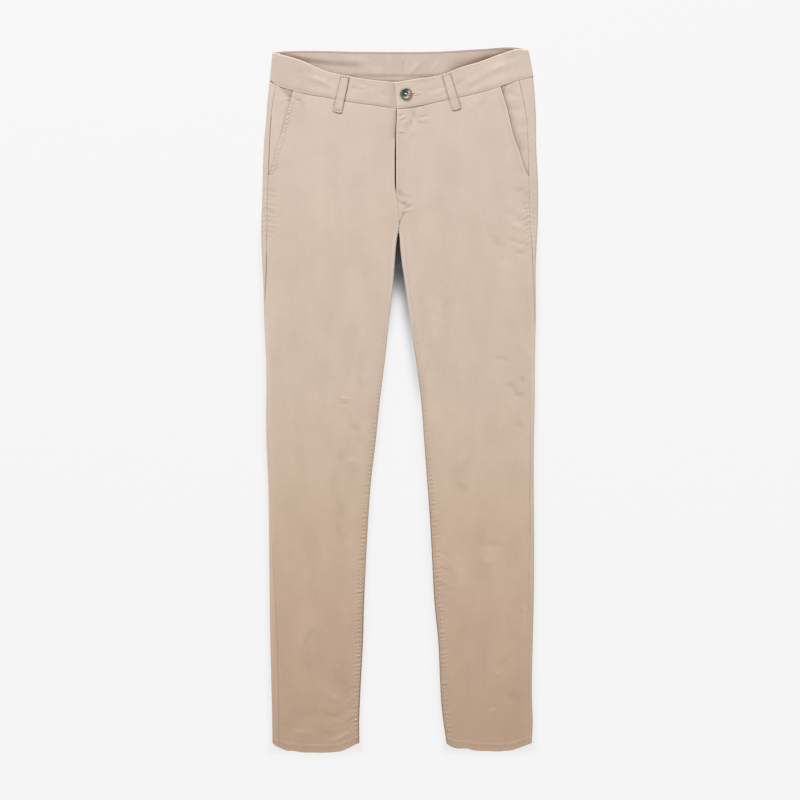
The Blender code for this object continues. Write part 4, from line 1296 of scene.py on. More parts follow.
    def hem_shading(self, x: Array, rows: Array) -> Array:
        """Painted shade and highlight of the hem: painted shade in the pulls at its stitches, painted
        highlights along the edge above them and near the fold, and a slightly darker turned-up band.
        """
        up = rows - Drape.HEM_TOP
        pull = np.sin(math.tau / 4.7 * (x + 0.5 * up) + 2.0 * ripple(x, 11.0, self.leg.sign + 2.0))
        spots = -(0.14 - 0.22 * pull) * bell(up + 0.8) + 0.1 * pull * bell((up + 3.0) / 3.0)
        return spots + 0.6 * bell(up - 1.2) + 0.2 * bell((rows - Drape.HEM - 2.5) / 2.0) - 0.1 * (up < 0.0)

    @staticmethod
    def below_fork(rows: Array) -> Array:
        """Share left of the inseam's puckers on each row, as they fade towards the fork."""
        return 1.0 - rise(rows, 225.0, 15.0)

    @staticmethod
    def beaded(rows: Array) -> Array:
        """Strength of the inseam's beads on each row, which show most at the hem."""
        return np.clip(0.1 - rows / 300.0, 0.0, 1.0)

    def seam_dip(self, away: Array) -> Array:
        """How far the cloth rolls down into a seam."""
        return -self.roll * bell(away / self.roll_width)

    @staticmethod
    def pucker_shading(small: Array) -> Array:
        """Painted shade in the puckers' dips and painted highlight on their ridges, by their height."""
        return np.clip(0.9 * small, -0.3, 0.4)

    def outer_edge(self, rows: Array) -> tuple[Array, Array, Array, Array]:
        """Edge point and facing of the outer fold on each row."""
        sign = self.leg.sign
        return self.leg.outer(rows), rows, np.full_like(rows, sign), np.zeros_like(rows)

    def front_grid(self) -> Grid:
        """Points over the front panel, from its inseam or centre edge to its side or pocket edge."""
        leg = self.leg
        low, high, y = self.rows()
        half_slit = Drape.SLIT / 2.0
        edge_x, edge_y, face_x, face_y, inset = self.fork_edge(low)
        climb = high + Drape.CROSS * np.clip(1.0 - (high - Drape.FORK[1]) / 20.8, 0.0, 1.0)
        line_y = Drape.level(leg, -4.0, climb, True)
        gap = half_slit if leg is LEFT else half_slit - Drape.FLY_GAP(line_y)
        start_x = np.concatenate([edge_x - face_x * (inset + half_slit), FLY_EDGE(line_y) + gap])
        start_y = np.concatenate([edge_y - face_y * (inset + half_slit), climb])

        far = np.array(self.FAR)[::-1][None, :]
        rows = y[:, None]
        radius, seam = self.outer_seam(y)
        along = seam[:, None] + half_slit + far
        side_x, side_y, side_z = self.folded(self.outer_edge(rows), along, rows, radius[:, None])
        slant_x = leg.outer(rows) - leg.sign * (leg.pocket(rows) + far)
        for _ in range(4):
            slant_x = leg.outer(rows) - leg.sign * (leg.pocket(Drape.level(leg, slant_x, rows, True)) + far)
        slant_y = Drape.level(leg, slant_x, rows, True)
        slanted = rows >= Drape.POCKET_END
        far_x = np.where(slanted, slant_x, side_x)
        far_y = np.where(slanted, slant_y, side_y)
        far_z = np.where(slanted, Drape.front(leg, slant_x, slant_y), side_z)

        span = np.abs(far_x[:, :1] - start_x[:, None])
        near = np.array(self.NEAR)[None, :] / span
        steps = np.arange(1, self.middle_columns) / self.middle_columns
        share = beside(near, near[:, -1:] + (1.0 - near[:, -1:]) * steps)
        x = start_x[:, None] + (far_x[:, :1] - start_x[:, None]) * share
        true_y = Drape.level(leg, x, rows, True) + (start_y - y)[:, None] * (1.0 - share) ** 2
        grid = Grid.spread(
            beside(x, far_x), beside(true_y, far_y), beside(Drape.front(leg, x, true_y), far_z), 0.0
        )
        from_start = beside(share * span, span + far[:, :1] - far)
        from_side = beside((1.0 - share) * span + far[0, 0], np.broadcast_to(far, far_x.shape))
        return self.pressed_front(grid, rows, from_start, from_side)

    def pressed_front(self, grid: Grid, rows: Array, from_start: Array, from_side: Array) -> Grid:
        """Press seams, puckers, hem and fly into a front panel, and paint their shade and highlight into its
        tone.
        """
        leg = self.leg
        pucker = self.PUCKERS[leg.side]
        below = rows < Drape.FORK[1]
        slanted = rows >= Drape.POCKET_END
        by_gap = 0.95 if leg is RIGHT else 0.05
        starts = np.where(below, self.INSEAM_SHOWS(rows), np.where(rows < 302.0, 0.15, by_gap))
        sides = self.OUTSEAM_SHOWS[leg.side](rows)
        seam = self.seam_dip(from_start) * np.clip(0.05 + 0.95 * starts, 0.0, 1.0)
        seam += np.where(slanted, 0.1, 0.05 + 0.95 * sides) * self.seam_dip(from_side)
        small = np.zeros_like(grid.z)
        bead_shading = np.zeros_like(grid.z)
        fade = self.below_fork(rows)
        low = np.minimum(rows, 240.0)
        for item in pucker["inseam"]:
            small += item.press(low, from_start) * fade
            beads = item.bead_shading(low, from_start) + 0.6 * item.bead_shading(low, from_start - 4.4, 1.8)
            bead_shading += beads * fade * (item.pitch < 8.0) * self.beaded(low)
        for item in pucker["outseam"]:
            small += item.press(grid.y, from_side) * ~slanted
        for item in pucker["pocket"]:
            small += item.press(grid.y, from_side) * slanted
            bead_shading += 1.5 * item.height * item.bead_shading(grid.y, from_side - 2.6, 2.1) * slanted
        on_fly = rise(grid.y, 268.0, 12.0) * (1.0 - rise(grid.y, 425.0, 12.0))
        fly = Pucker(262.0, 440.0, 4.6, 7.0, 0.16, -0.3, 21.0)
        small += fly.press(grid.y, from_start) * on_fly
        bead_shading += 0.35 * fly.bead_shading(grid.y, from_start - 1.0, 1.0) * on_fly * (leg is LEFT)
        stitched = bell((from_start - 1.9) / 0.55) * below + 0.6 * bell((from_side - 5.6) / 0.7) * slanted
        if leg is LEFT:
            stitched += bell((from_start - 2.9) / 0.6) * (rows >= 300.0)
        top = np.max(rows) - rows
        grid.z += seam + small - 0.14 * stitched + self.hem_step(rows) - 0.2 * bell(top / 1.3)
        starts = np.clip(starts, 0.0, 1.0)
        by_fly = 1.0 - bell((grid.x - 15.0) / 16.0)
        # Strengths of the painted highlights on the fly's and the pocket's lips.
        fly_lip, pocket_lip = (1.6, 0.5) if leg is LEFT else (0.4, 0.2)
        # Painted shade and highlight of puckers and beads, and a dark line at the inseam and the fly's edge:
        # painted shade in the seam with its own darker colour.
        grid.tone = self.pucker_shading(small) + bead_shading - 0.8 * starts * bell(from_start / 0.7)
        # Painted shade in the side seam, with the seam's own darker line.
        grid.tone -= np.where(slanted, 0.0, sides) * bell(from_side / 0.6)
        # Painted highlight beside the inseam.
        grid.tone += 0.35 * starts * bell((from_start - 1.2) / 0.9) * below
        # Painted highlight on the fly's lip.
        grid.tone += fly_lip * bell((from_start - 0.9) / 0.8) * rise(rows, 300.0, 12.0)
        # Painted highlight just below the band seam, and painted shade right under the band.
        grid.tone += 0.5 * bell((top - 1.6) / 0.7) - 0.5 * by_fly * bell(top / 0.5)
        # Painted highlight on the pocket's lip.
        grid.tone += pocket_lip * bell((from_side - 0.8) / 0.8) * slanted
        # Painted shade in the stitching's groove.
        grid.tone -= np.where(below, 0.3 * starts, 0.15) * stitched
        if leg is RIGHT:
            # Painted shadow of the left front on the right front beside the fly.
            top_half = rise(grid.y, 386.0, 16.0)
            grid.tone -= (0.65 * np.exp(-from_start / 4.5) + 0.9 * bell(from_start / 1.6)) * top_half
        # Painted shade and highlight of creases, loop shadows, folded edges and hem.
        grid.tone += Drape.shades(grid.x, grid.y) + self.rim(grid.x, grid.y) + self.hem_shading(grid.x, rows)
        return grid

    def rim(self, x: Array, y: Array) -> Array:
        """Painted highlight and shade along the two folded edges: a painted highlight on the outer fold,
        painted shade where the inner fold turns away, and a painted highlight on the inner fold near the
        fork.
        """
        leg = self.leg
        outer = self.OUTER_RIM[leg.side](y) * bell((x - leg.outer(y)) / 6.0)
        away = np.abs(x - leg.inner(y))
        inner = self.INNER_RIM[leg.side](y) * bell(away / 9.0)
        inner = inner + 1.3 * self.INNER_LINE[leg.side](y) * bell((away - 0.9) / 0.65)
        return outer + inner * (y < Drape.FORK[1])

    def back_grid(self) -> Grid:
        """Points over the back panel: side seam, outer fold, underside, inner fold or centre seam."""
        leg = self.leg
        low, high, y = self.rows()
        rows = y[:, None]
        radius, seam = (part[:, None] for part in self.outer_seam(y))
        shares = np.linspace(0.0, 1.0, self.turn_columns)[None, :] ** 0.9
        start = seam - Drape.SLIT / 2.0
        along = start - (start + radius * math.pi / 2.0) * shares
        x, true_y, z = self.folded(self.outer_edge(rows), along, rows, radius)
        from_seam = start - along

        *edge, inset = (part[:, None] for part in self.fork_edge(low))
        radius = np.full_like(inset, Drape.EDGE / 2.0)
        seam = Drape.arc_to(inset, radius) - Drape.SLIT / 2.0
        quarter = radius * math.pi / 2.0
        along = -quarter + (seam + quarter) * shares
        ix, iy, iz = self.folded(edge, along, low[:, None], radius)
        from_inner = seam - along

        high_rows = high[:, None]
        end_x = CENTRE_BACK(high_rows) + leg.sign * Drape.GAP / 2.0
        spread = leg.sign * 0.35 * (self.turn_columns - 1 - np.arange(self.turn_columns))[None, :]
        cx = end_x + spread
        reach = np.clip((high_rows - Drape.FORK[1]) / 10.0, 0.0, 1.0)
        cy = Drape.level(leg, cx, np.maximum(high_rows, Drape.FORK[1] + 10.0), False)
        blend_up = smoothstep(reach)
        ex = np.concatenate([ix, ix[-1:] + (cx - ix[-1:]) * blend_up])
        ey = np.concatenate([iy, iy[-1:] + (cy - iy[-1:]) * reach])
        ez = np.concatenate([iz, iz[-1:] + (Drape.floor(high_rows) - iz[-1:]) * blend_up])
        from_end = np.concatenate([from_inner, np.broadcast_to(np.abs(spread), cy.shape)])

        share = (np.arange(1, self.under_columns + 1) / (self.under_columns + 1))[None, :]
        ux = x[:, -1:] + (ex[:, :1] - x[:, -1:]) * share
        line_y = true_y[:, -1:] + (ey[:, :1] - true_y[:, -1:]) * share
        uy = np.where(np.abs(rows) > 260.0, Drape.level(leg, ux, rows, False), line_y)
        under = np.minimum(np.abs(ux - x[:, -1:]), np.abs(ux - ex[:, :1]))
        folds = crumple(ux, uy, 24.0, 8.0 + leg.sign) + 0.5 * crumple(ux, uy, 10.0, 3.0)
        uz = Drape.floor(rows) + 0.55 * np.clip(folds - 0.1, 0.0, 1.0) * rise(under, 4.0, 16.0)
        grid = Grid.spread(beside(x, ux, ex), beside(true_y, uy, ey), beside(z, uz, ez), 0.0)
        return self.pressed_back(grid, rows, from_seam, from_end, len(low))

    def pressed_back(self, grid: Grid, rows: Array, from_seam: Array, from_end: Array, below: int) -> Grid:
        """Press the seams and their puckers into the strips of the back panel that show, and paint their
        shade and highlight into its tone.
        """
        pucker = self.PUCKERS[self.leg.side]
        turn = self.turn_columns
        over = rise(grid.z[:, :turn], 3.0, 1.5)
        small = np.zeros_like(from_seam)
        for item in pucker["outseam"]:
            small += item.press(grid.y[:, :turn], from_seam)
        ridge = 0.35 * bell((from_seam - 2.4) / 1.5)
        sides = self.OUTSEAM_SHOWS[self.leg.side](rows)
        grid.z[:, :turn] += (small + ridge + (0.05 + 0.95 * sides) * self.seam_dip(from_seam)) * over
        # Painted highlight on the ridge beside the side seam, and painted shade in the seam with the join's
        # own darker colour.
        seam_highlight = 0.4 * ridge + 0.3 * bell((from_seam - 1.3) / 0.9) * (rows > Drape.POCKET_END)
        grid.tone[:, :turn] = (self.pucker_shading(small) + seam_highlight) * over - sides * bell(from_seam / 0.6)
        from_inseam = from_end[:below]
        low_rows = rows[:below]
        over = rise(grid.z[:below, -turn:], 2.6, 1.6)
        small = np.zeros_like(from_inseam)
        bead_shading = np.zeros_like(small)
        low = np.broadcast_to(np.minimum(low_rows, 240.0), small.shape)
        for item in pucker["inseam"]:
            small += item.press(low, -0.8 * from_inseam)
            bead_shading += 0.6 * item.bead_shading(low, -from_inseam) * (item.pitch < 8.0) * self.beaded(low)
        small *= self.below_fork(low_rows)
        shows = self.INSEAM_SHOWS(low_rows)
        dip = np.clip(0.05 + 0.95 * shows, 0.0, 1.0) * self.seam_dip(from_inseam)
        grid.z[:below, -turn:] += (0.9 * small + dip) * over
        # Painted shade in the inseam, with the join's own darker colour.
        dark = 0.8 * np.clip(shows, 0.0, 1.0) * bell(from_inseam / 0.6)
        grid.tone[:below, -turn:] = (self.pucker_shading(small) + bead_shading) * over - dark
        grid.z[below:, -turn:] += 0.6 * bell(from_end[below:]) * rise(rows[below:], 262.0, 8.0)
        # Painted highlight and shade along the folds, and on the hem.
        grid.tone += self.rim(grid.x, grid.y) * (grid.z > 2.0)
        grid.z += np.where(grid.z > 2.0, self.hem_step(rows), 0.0)
        grid.tone += self.hem_shading(grid.x, rows)
        return grid

    def make(self, workshop: Workshop) -> None:
        leg = self.leg
        front = self.front_grid()
        for part, width, grid, rests in (
            ("front", 0.215, front, f"back_{leg.word}_cloth"), ("back", 0.245, self.back_grid(), "floor"),
        ):
            workshop.cloth(
                f"{part}_{leg.word}", grid, leg is RIGHT, (width, 0.995), [rests], workshop.finishes.panel,
                area=grid.area(),
            )
        y = self.rows()[-1]
        lift = Sewing.LIFT
        fork_row, fly_row, pocket_row = np.searchsorted(y, [244.0, 303.0, Drape.POCKET_END + 4.0])
        hem_row = 1 + (Drape.HEM_TOP - 0.6 - Drape.HEM - 1.6) / self.row_pitch + 1.0
        pocket_column = front.x.shape[1] - 1 - (self.FAR.index(5.4) + 0.1)
        paths = [
            front.column(self.NEAR.index(1.4) + 0.7, lift)[8:fork_row], front.row(hem_row, lift)[3:-3],
            front.column(pocket_column, lift)[pocket_row:-2],
        ]
        if leg is LEFT:
            paths.append(front.column(self.NEAR.index(3.0) - 0.1, lift)[fly_row:-2])
        workshop.sewing.lay(
            f"inseam_stitches_{leg.word}", [front.column(self.NEAR.index(0.8) + 0.3, -1.5)[8:fork_row - 110]],
            Stitch.RUNNING, workshop.finishes.pale, pitch=6.4, stitch_length=3.0, thickness=4.2,
        )
        workshop.sewing.lay(
            f"leg_stitches_{leg.word}", paths, Stitch.RUNNING, workshop.finishes.thread,
            pitch=3.1, stitch_length=2.3, thickness=0.62,
        )


@dataclass
class Facing:
    """The hip panel under one slant pocket."""

    leg: Leg
    tuck: float = 12.0

    def grid(self) -> Grid:
        """Points over the facing, from under the front's edge to the side seam."""
        leg = self.leg
        rows = np.linspace(Drape.POCKET_END, Drape.WAIST, 84)[:, None]
        share = np.concatenate([np.linspace(-1.0, 0.0, 9)[:-1], np.linspace(0.0, 1.0, 22) ** 0.85])[None, :]
        x = leg.outer(rows) - leg.sign * leg.pocket(rows)
        for _ in range(5):
            true_y = Drape.level(leg, x, rows, True)
            seam = leg.side_seam(true_y) + Drape.SLIT / 2.0
            slant = leg.pocket(true_y)
            inset = np.where(share < 0.0, slant - self.tuck * share, slant + (seam - slant) * share)
            x = leg.outer(rows) - leg.sign * inset
        true_y = Drape.level(leg, x, rows, True)
        flush = smoothstep(share) * rise(rows, Drape.POCKET_END, 30.0)
        drop = (Drape.CLOTH + Drape.GAP) * (1.0 - flush)
        z = Drape.cloth(leg, x, true_y) + Drape.pocket_lift(leg, x, true_y) * (1.0 - flush) - drop
        from_seam = np.abs(inset - seam)
        under = smoothstep(share / 0.2)
        soft = 0.35 * crumple(x, true_y, 9.0, 2.0 + leg.sign) * under
        shows = Half.OUTSEAM_SHOWS[leg.side](rows)
        z = z - (0.04 + 0.38 * shows) * bell(from_seam / 0.8) + soft * smoothstep(from_seam / 6.0)
        behind = np.clip(slant - inset, 0.0, None)
        # Painted shade and highlight of the soft folds, and painted shade in the side seam with the join's
        # own darker colour.
        tone = 0.25 * soft - shows * bell(from_seam / 0.6) + Drape.shades(x, true_y)
        # Painted highlight beside the side seam.
        tone = tone + 0.35 * bell((from_seam - 1.4) / 0.9)
        if leg is RIGHT:
            # Painted shadow of the front panel's edge on the facing, and deeper painted shadow in the
            # pocket's mouth at the top.
            high = 0.3 + 0.7 * rise(true_y, 392.0, 24.0)
            tone = tone - (0.15 * bell(behind / 4.0) + 0.4 * bell(behind / 0.9)) * high
            tone = tone - 0.34 * bell((behind - 3.0) / 5.0) * rise(true_y, 453.0, 8.0)
        else:
            # Painted shadow of the front panel's edge on the facing, deeper in the pocket's mouth at the top,
            # broader lower down, and in the pocket's lower corner.
            tone = tone - 0.2 * bell(behind / 5.0) - 0.65 * bell(behind / 0.8)
            tone = tone - 0.9 * bell(behind / 1.6) * rise(rows, 474.0, 6.0)
            uneven = 0.8 + 0.3 * ripple(rows, 12.0, 5.0)
            tone = tone - 0.26 * bell((behind - 2.6) / 4.6) * rise(rows, 366.0, 14.0) * uneven
            tone = tone - 0.6 * bell((rows - 344.0) / 2.5) * bell(behind / 3.0)
        return Grid.spread(x, true_y, z, tone)

    def make(self, workshop: Workshop) -> None:
        leg = self.leg
        grid = self.grid()
        workshop.cloth(
            f"pocket_facing_{leg.word}", grid, leg is RIGHT, (0.055, 0.15), [f"back_{leg.word}_cloth"],
            workshop.finishes.panel, area=grid.area(),
        )


@dataclass
class FlyShield:
    """The strip behind the fly, which shows in its gap, finished near black as painted shadow."""

    half_width: float = 21.0

    def make(self, workshop: Workshop) -> None:
        y = np.linspace(302.0, 432.0, 60)[:, None]
        x = np.linspace(-self.half_width, self.half_width, 24)[None, :] - 4.0
        height = np.where(x < FLY_EDGE(y), Drape.cloth(RIGHT, x, y), Drape.cloth(LEFT, x, y))
        grid = Grid.spread(x, y, height - Drape.CLOTH - Drape.GAP - 0.25, 0.0)
        rests = ["back_right_cloth", "back_left_cloth"]
        # Its near-black finish is painted shadow in the fly's gap.
        workshop.cloth("fly_shield", grid, False, (0.043, 0.131), rests, workshop.finishes.painted_shadow)


# ------------------------------------------------------------------ the waist


@dataclass
class Waistband:
    """The two halves of the waistband, lapped under the button."""

    front_columns: int = 128
    back_columns: int = 50
    edge_dip: float = 0.2
    stitch_inset: float = 2.3

    CREASES = pressed(
        (-140, 487, -100, 471, 2.1, 0.9, 1.0), (-154, 494, -146, 491, 1.6, -0.5),
        (-69, 471, -69, 465, 1.4, -0.6), (-75, 474, -40, 464, 2.2, 0.4, 1.0),
        (-77, 471.5, -41, 461.5, 1.2, -0.5, 0.8, -0.28), (52.5, 463.5, 67, 471.5, 1.2, -0.8, 0.0, -0.35),
        (83, 473, 97, 480, 1.3, -0.7), (129, 492, 170, 508, 2.2, 0.6, 1.0),
        (-150, 478, -105, 467, 3.0, -0.30, 1.0), (-158, 498, -128, 490, 3.0, -0.25),
        (-70, 468, -30, 458, 3.0, 0.30, 1.0), (-60, 474, -34, 470, 2.5, -0.22),
        (-24, 464, -18, 446, 4.0, -0.30), (-30, 455, -12, 452, 3.0, 0.25), (40, 462, 62, 472, 2.6, -0.35),
        (46, 458, 70, 468, 2.8, 0.35), (94, 470, 128, 489, 3.4, 0.45, 1.0),
        (99, 465, 135, 484, 3.0, -0.40, 1.0), (120, 488, 168, 507, 3.6, 0.32, 1.5),
        (126, 480, 172, 498, 3.6, -0.32, 1.5), (150, 512, 186, 519, 3.4, -0.28),
        (20, 474, 50, 480, 2.4, -0.25),
    )

    def grid(self, leg: Leg) -> Grid:
        """Points over one half, from its front end round the side to the centre back."""
        steps = np.linspace(0.0, 1.0, 27)
        up = (steps - 0.13 * np.sin(math.tau * steps))[:, None]
        radius = (Drape.EDGE + 0.8 - Drape.BAND_FLOOR) / 2.0
        sign = leg.sign
        share = np.linspace(0.0, 1.0, self.front_columns)[None, :]
        begin = 24.0 if leg is RIGHT else -4.1 - 3.4 * up
        edge_x = leg.fold_low[0] + (leg.fold_top[0] - leg.fold_low[0]) * up
        edge_y = leg.fold_low[1] + (leg.fold_top[1] - leg.fold_low[1]) * up
        x = begin + (edge_x - sign * 9.0 - begin) * share
        low = leg.band_seam(x)
        y = low + (leg.band_top(x) - low) * up
        z = Drape.band(leg, x, y, up)
        tail = (np.arange(1, 6) / 6.0)[None, :]
        tx = x[:, -1:] + (edge_x - sign * radius - x[:, -1:]) * tail
        ty = y[:, -1:] + (edge_y - y[:, -1:]) * tail
        tz = z[:, -1:] + (Drape.EDGE + 0.8 - z[:, -1:]) * tail
        turn = np.radians(np.linspace(90.0, -90.0, 11))[None, :]
        ax = edge_x - sign * radius * (1.0 - np.cos(turn))
        ay = np.broadcast_to(edge_y, ax.shape)
        az = np.broadcast_to(Drape.BAND_FLOOR + radius * (1.0 + np.sin(turn)), ax.shape)
        end = CENTRE_BACK(500.0) + sign * Drape.GAP / 2.0
        back = (np.arange(1, self.back_columns + 1) / self.back_columns)[None, :]
        bx = ax[:, -1:] + (end - ax[:, -1:]) * back
        low = BACK_SEAM(bx)
        by = low + (BACK_TOP(bx) - low) * up
        bz = Drape.BAND_FLOOR + 0.25 * np.clip(crumple(bx, by, 18.0, 4.0), 0.0, 1.0)
        bz = np.where(back > 0.03, bz, Drape.BAND_FLOOR)
        grid = Grid.spread(beside(x, tx, ax, bx), beside(y, ty, ay, by), beside(z, tz, az, bz), 0.0)
        return self.pressed(grid, leg, up)

    def pressed(self, grid: Grid, leg: Leg, up: Array) -> Grid:
        """Press edges, stitch lines, puckers and creases into the band's face, and paint their shade and
        highlight into its tone.
        """
        from_low = up * Drape.BAND_TALL
        from_top = (1.0 - up) * Drape.BAND_TALL
        over = rise(grid.z, 3.6, 1.2)
        from_end = np.abs(grid.x - grid.x[:, :1])
        sign = leg.sign
        small = Pucker(-240.0, 240.0, 5.2, 6.0, 0.16, 0.8 * sign, 31.0 + sign).press(grid.x, from_low)
        small += Pucker(-240.0, 240.0, 6.0, 5.0, 0.10, 0.6 * sign, 35.0 + sign).press(grid.x, from_top)
        creases = 1.5 * relief(self.CREASES, grid.x, grid.y)
        creases = creases + 0.22 * crumple(grid.x, 1.6 * grid.y, 12.0, 9.0 + sign)
        inside = smoothstep(from_low / 6.0) * smoothstep(from_top / 6.0)
        edges = -self.edge_dip * (bell(from_low / 0.7) + 0.3 * bell(from_top / 0.9))
        stitched = bell((from_low - self.stitch_inset) / 0.6)
        stitched = stitched + 0.8 * bell((from_top - self.stitch_inset) / 0.6)
        end = bell(from_end / 0.9) if leg is LEFT else 0.0
        grid.z += (edges + small + creases * inside - 0.16 * stitched - 0.5 * end) * over
        # line: strength of the dark line at the band seam, painted shade in the seam with the join's own
        # darker colour.
        line = 1.1 - bell((grid.x - 15.0) / 16.0)
        # Painted shade and highlight of puckers and creases, and painted shade in the stitching's groove.
        grid.tone = 0.9 * small + np.where(creases > 0.0, 0.35, 0.14) * creases * inside - 0.15 * stitched
        # Painted highlight just above the band seam, and painted shade in the seam.
        grid.tone += 0.8 * bell((from_low - 1.5) / 0.8) - line * bell(from_low / 0.55)
        # Painted highlight along the band's top edge, and painted shade towards the end on the wearer's
        # right.
        grid.tone += 2.9 * bell((from_top - 0.5) / 1.1) - 0.1 * rise(grid.x, -100.0, -60.0)
        if leg is LEFT:
            # Painted highlight on the left half's front end.
            grid.tone += 2.0 * bell(from_end - 0.8)
        else:
            # Painted shadow of the left half's end on the right half.
            grid.tone -= 0.15 * bell((grid.x + 8.5) / 3.0) + 0.1 * bell((grid.x + 14.0) / 8.0)
            grid.z -= 0.35 * bell((grid.x + 9.0) / 5.0) * over
        # behind: painted shade on the back band's top edge.
        behind = -0.7 * bell(from_top / 1.5) * rise(grid.z, 2.6, -0.5)
        grid.tone = (grid.tone + Drape.shades(grid.x, grid.y)) * over + behind
        return grid

    def make(self, workshop: Workshop) -> None:
        """Build and declare both halves and their edge stitching."""
        paths = []
        for leg in LEGS:
            grid = self.grid(leg)
            workshop.cloth(
                f"waistband_{leg.word}", grid, leg is RIGHT, (0.46, 0.046),
                [f"front_{leg.word}_cloth", "belt_loop_back_centre_cloth"], workshop.finishes.band, BAND_SLOT,
                Drape.BAND_CLOTH, grid.area(),
            )
            up_rows = grid.y[:, 40] - grid.y[0, 40]
            inset = self.stitch_inset / Drape.BAND_TALL
            first = 2 if leg is LEFT else 22
            for share in (inset, 1.0 - inset):
                row = float(np.interp(share * up_rows[-1], up_rows, np.arange(len(up_rows))))
                paths.append(grid.row(row, Sewing.LIFT)[first:self.front_columns + 4])
            if leg is LEFT:
                paths.append(grid.column(1.6, Sewing.LIFT)[2:-2])
        workshop.sewing.lay(
            "waistband_stitches", paths, Stitch.RUNNING, workshop.finishes.thread,
            pitch=2.9, stitch_length=2.1, thickness=0.55,
        )


@dataclass
class Lining:
    """The inner face of the back band, seen through the open waist, with its overlocked edge."""

    ends: Point = (-180.0, 171.0)
    overlock_at: float = 9.6

    CREASES = pressed(
        (12, 486, 30, 508, 3.0, 0.5, 1.0), (18, 486, 38, 506, 2.6, -0.4, 1.0),
        (44, 490, 60, 512, 3.0, 0.4, 1.0), (-20, 492, -52, 500, 3.4, 0.3),
        (-110, 506, -50, 498, 3.4, -0.45, 2.0), (-90, 514, -40, 508, 4.0, 0.35, 1.0),
        (70, 500, 110, 512, 4.0, -0.4, 2.0), (2, 484, 9, 520, 1.4, -0.5), (6, 484, 13, 520, 1.8, 0.35),
    )
    SHADOW = Curve(
        (-178, 0.3), (-160, 0.5), (-142, 0.65), (-118, 0.55), (-94, 0.36), (-70, 0.26), (-46, 0.0),
        (90, 0.0), (104, 0.2), (122, 0.35), (136, 0.2), (150, 0.0), steady=True,
    )
    SHADOW_AT = Curve(
        (-178, 521), (-157, 515), (-130, 510), (-106, 507), (-46, 504), (98, 508), (133, 517), steady=True,
    )

    def make(self, workshop: Workshop) -> None:
        x = np.linspace(*self.ends, 190)[:, None]
        up = np.linspace(0.0, 1.0, 36)[None, :]
        low = BACK_SEAM(x) - 4.0
        y = low + (BACK_TOP(x) - 2.0 - low) * up
        ends = rise(np.abs(x), 140.0, 30.0)
        base = Drape.BAND_FLOOR + Drape.BAND_CLOTH + Drape.GAP + Drape.LINING_CLOTH - 0.4 * ends
        creases = relief(self.CREASES, x, y) + 0.22 * crumple(x, y, 10.0, 6.0)
        from_top = (1.0 - up) * Drape.BAND_TALL
        from_low = up * Drape.BAND_TALL
        seam = bell((from_low - self.overlock_at) / 2.6)
        z = base + np.clip(creases, -0.25, 0.9) * (1.0 - ends) - 0.3 * bell(from_top) + 0.2 * seam
        behind = np.clip(y - np.where(x < 0.0, RIGHT.band_top(x), LEFT.band_top(x)), 0.0, None)
        # Painted shade and highlight of the creases, and painted shadow of the front band's top edge on the
        # lining.
        tone = np.where(creases > 0.0, 0.3, 0.2) * creases - 0.65 * np.exp(-behind / 3.0)
        # A broader painted shadow of the front band's top edge on the right.
        tone -= 0.6 * rise(x, 60.0, 30.0) * np.exp(-behind / 9.0)
        tone -= self.SHADOW(x) * bell((y - self.SHADOW_AT(x)) / 4.2) * (1.0 + 0.2 * ripple(x, 12.0, 2.0))
        # Painted shade along the top edge, darker along the overlocked seam, and a little darker overall.
        tone -= 0.9 * bell(from_top) + 0.16 * seam + 0.06
        grid = Grid.spread(x, y, z, np.maximum(tone, -1.1))
        workshop.cloth(
            "waistband_lining", grid, True, (0.351, 0.045), ["waistband_right_cloth", "waistband_left_cloth"],
            workshop.finishes.inside, BAND_SLOT, Drape.LINING_CLOTH, min(grid.area(), 0.0157),
        )
        at = float(np.interp(self.overlock_at, from_low[0], np.arange(up.size)))
        line = grid.column(at, 0.15)[44:-44]
        rows = [(line + np.array([shift, 1.1 * shift, -0.2]))[:-1] for shift in (-1.6, 1.6)]
        sewing = workshop.sewing
        rose = workshop.finishes.rose
        sewing.lay(
            "lining_overlock", rows, Stitch.RUNNING, rose, pitch=5.6, stitch_length=3.0, thickness=1.3
        )
        sewing.lay("lining_thread", [zigzag(line, 6.3, 3.2)], Stitch.CORD, rose, thickness=0.5)


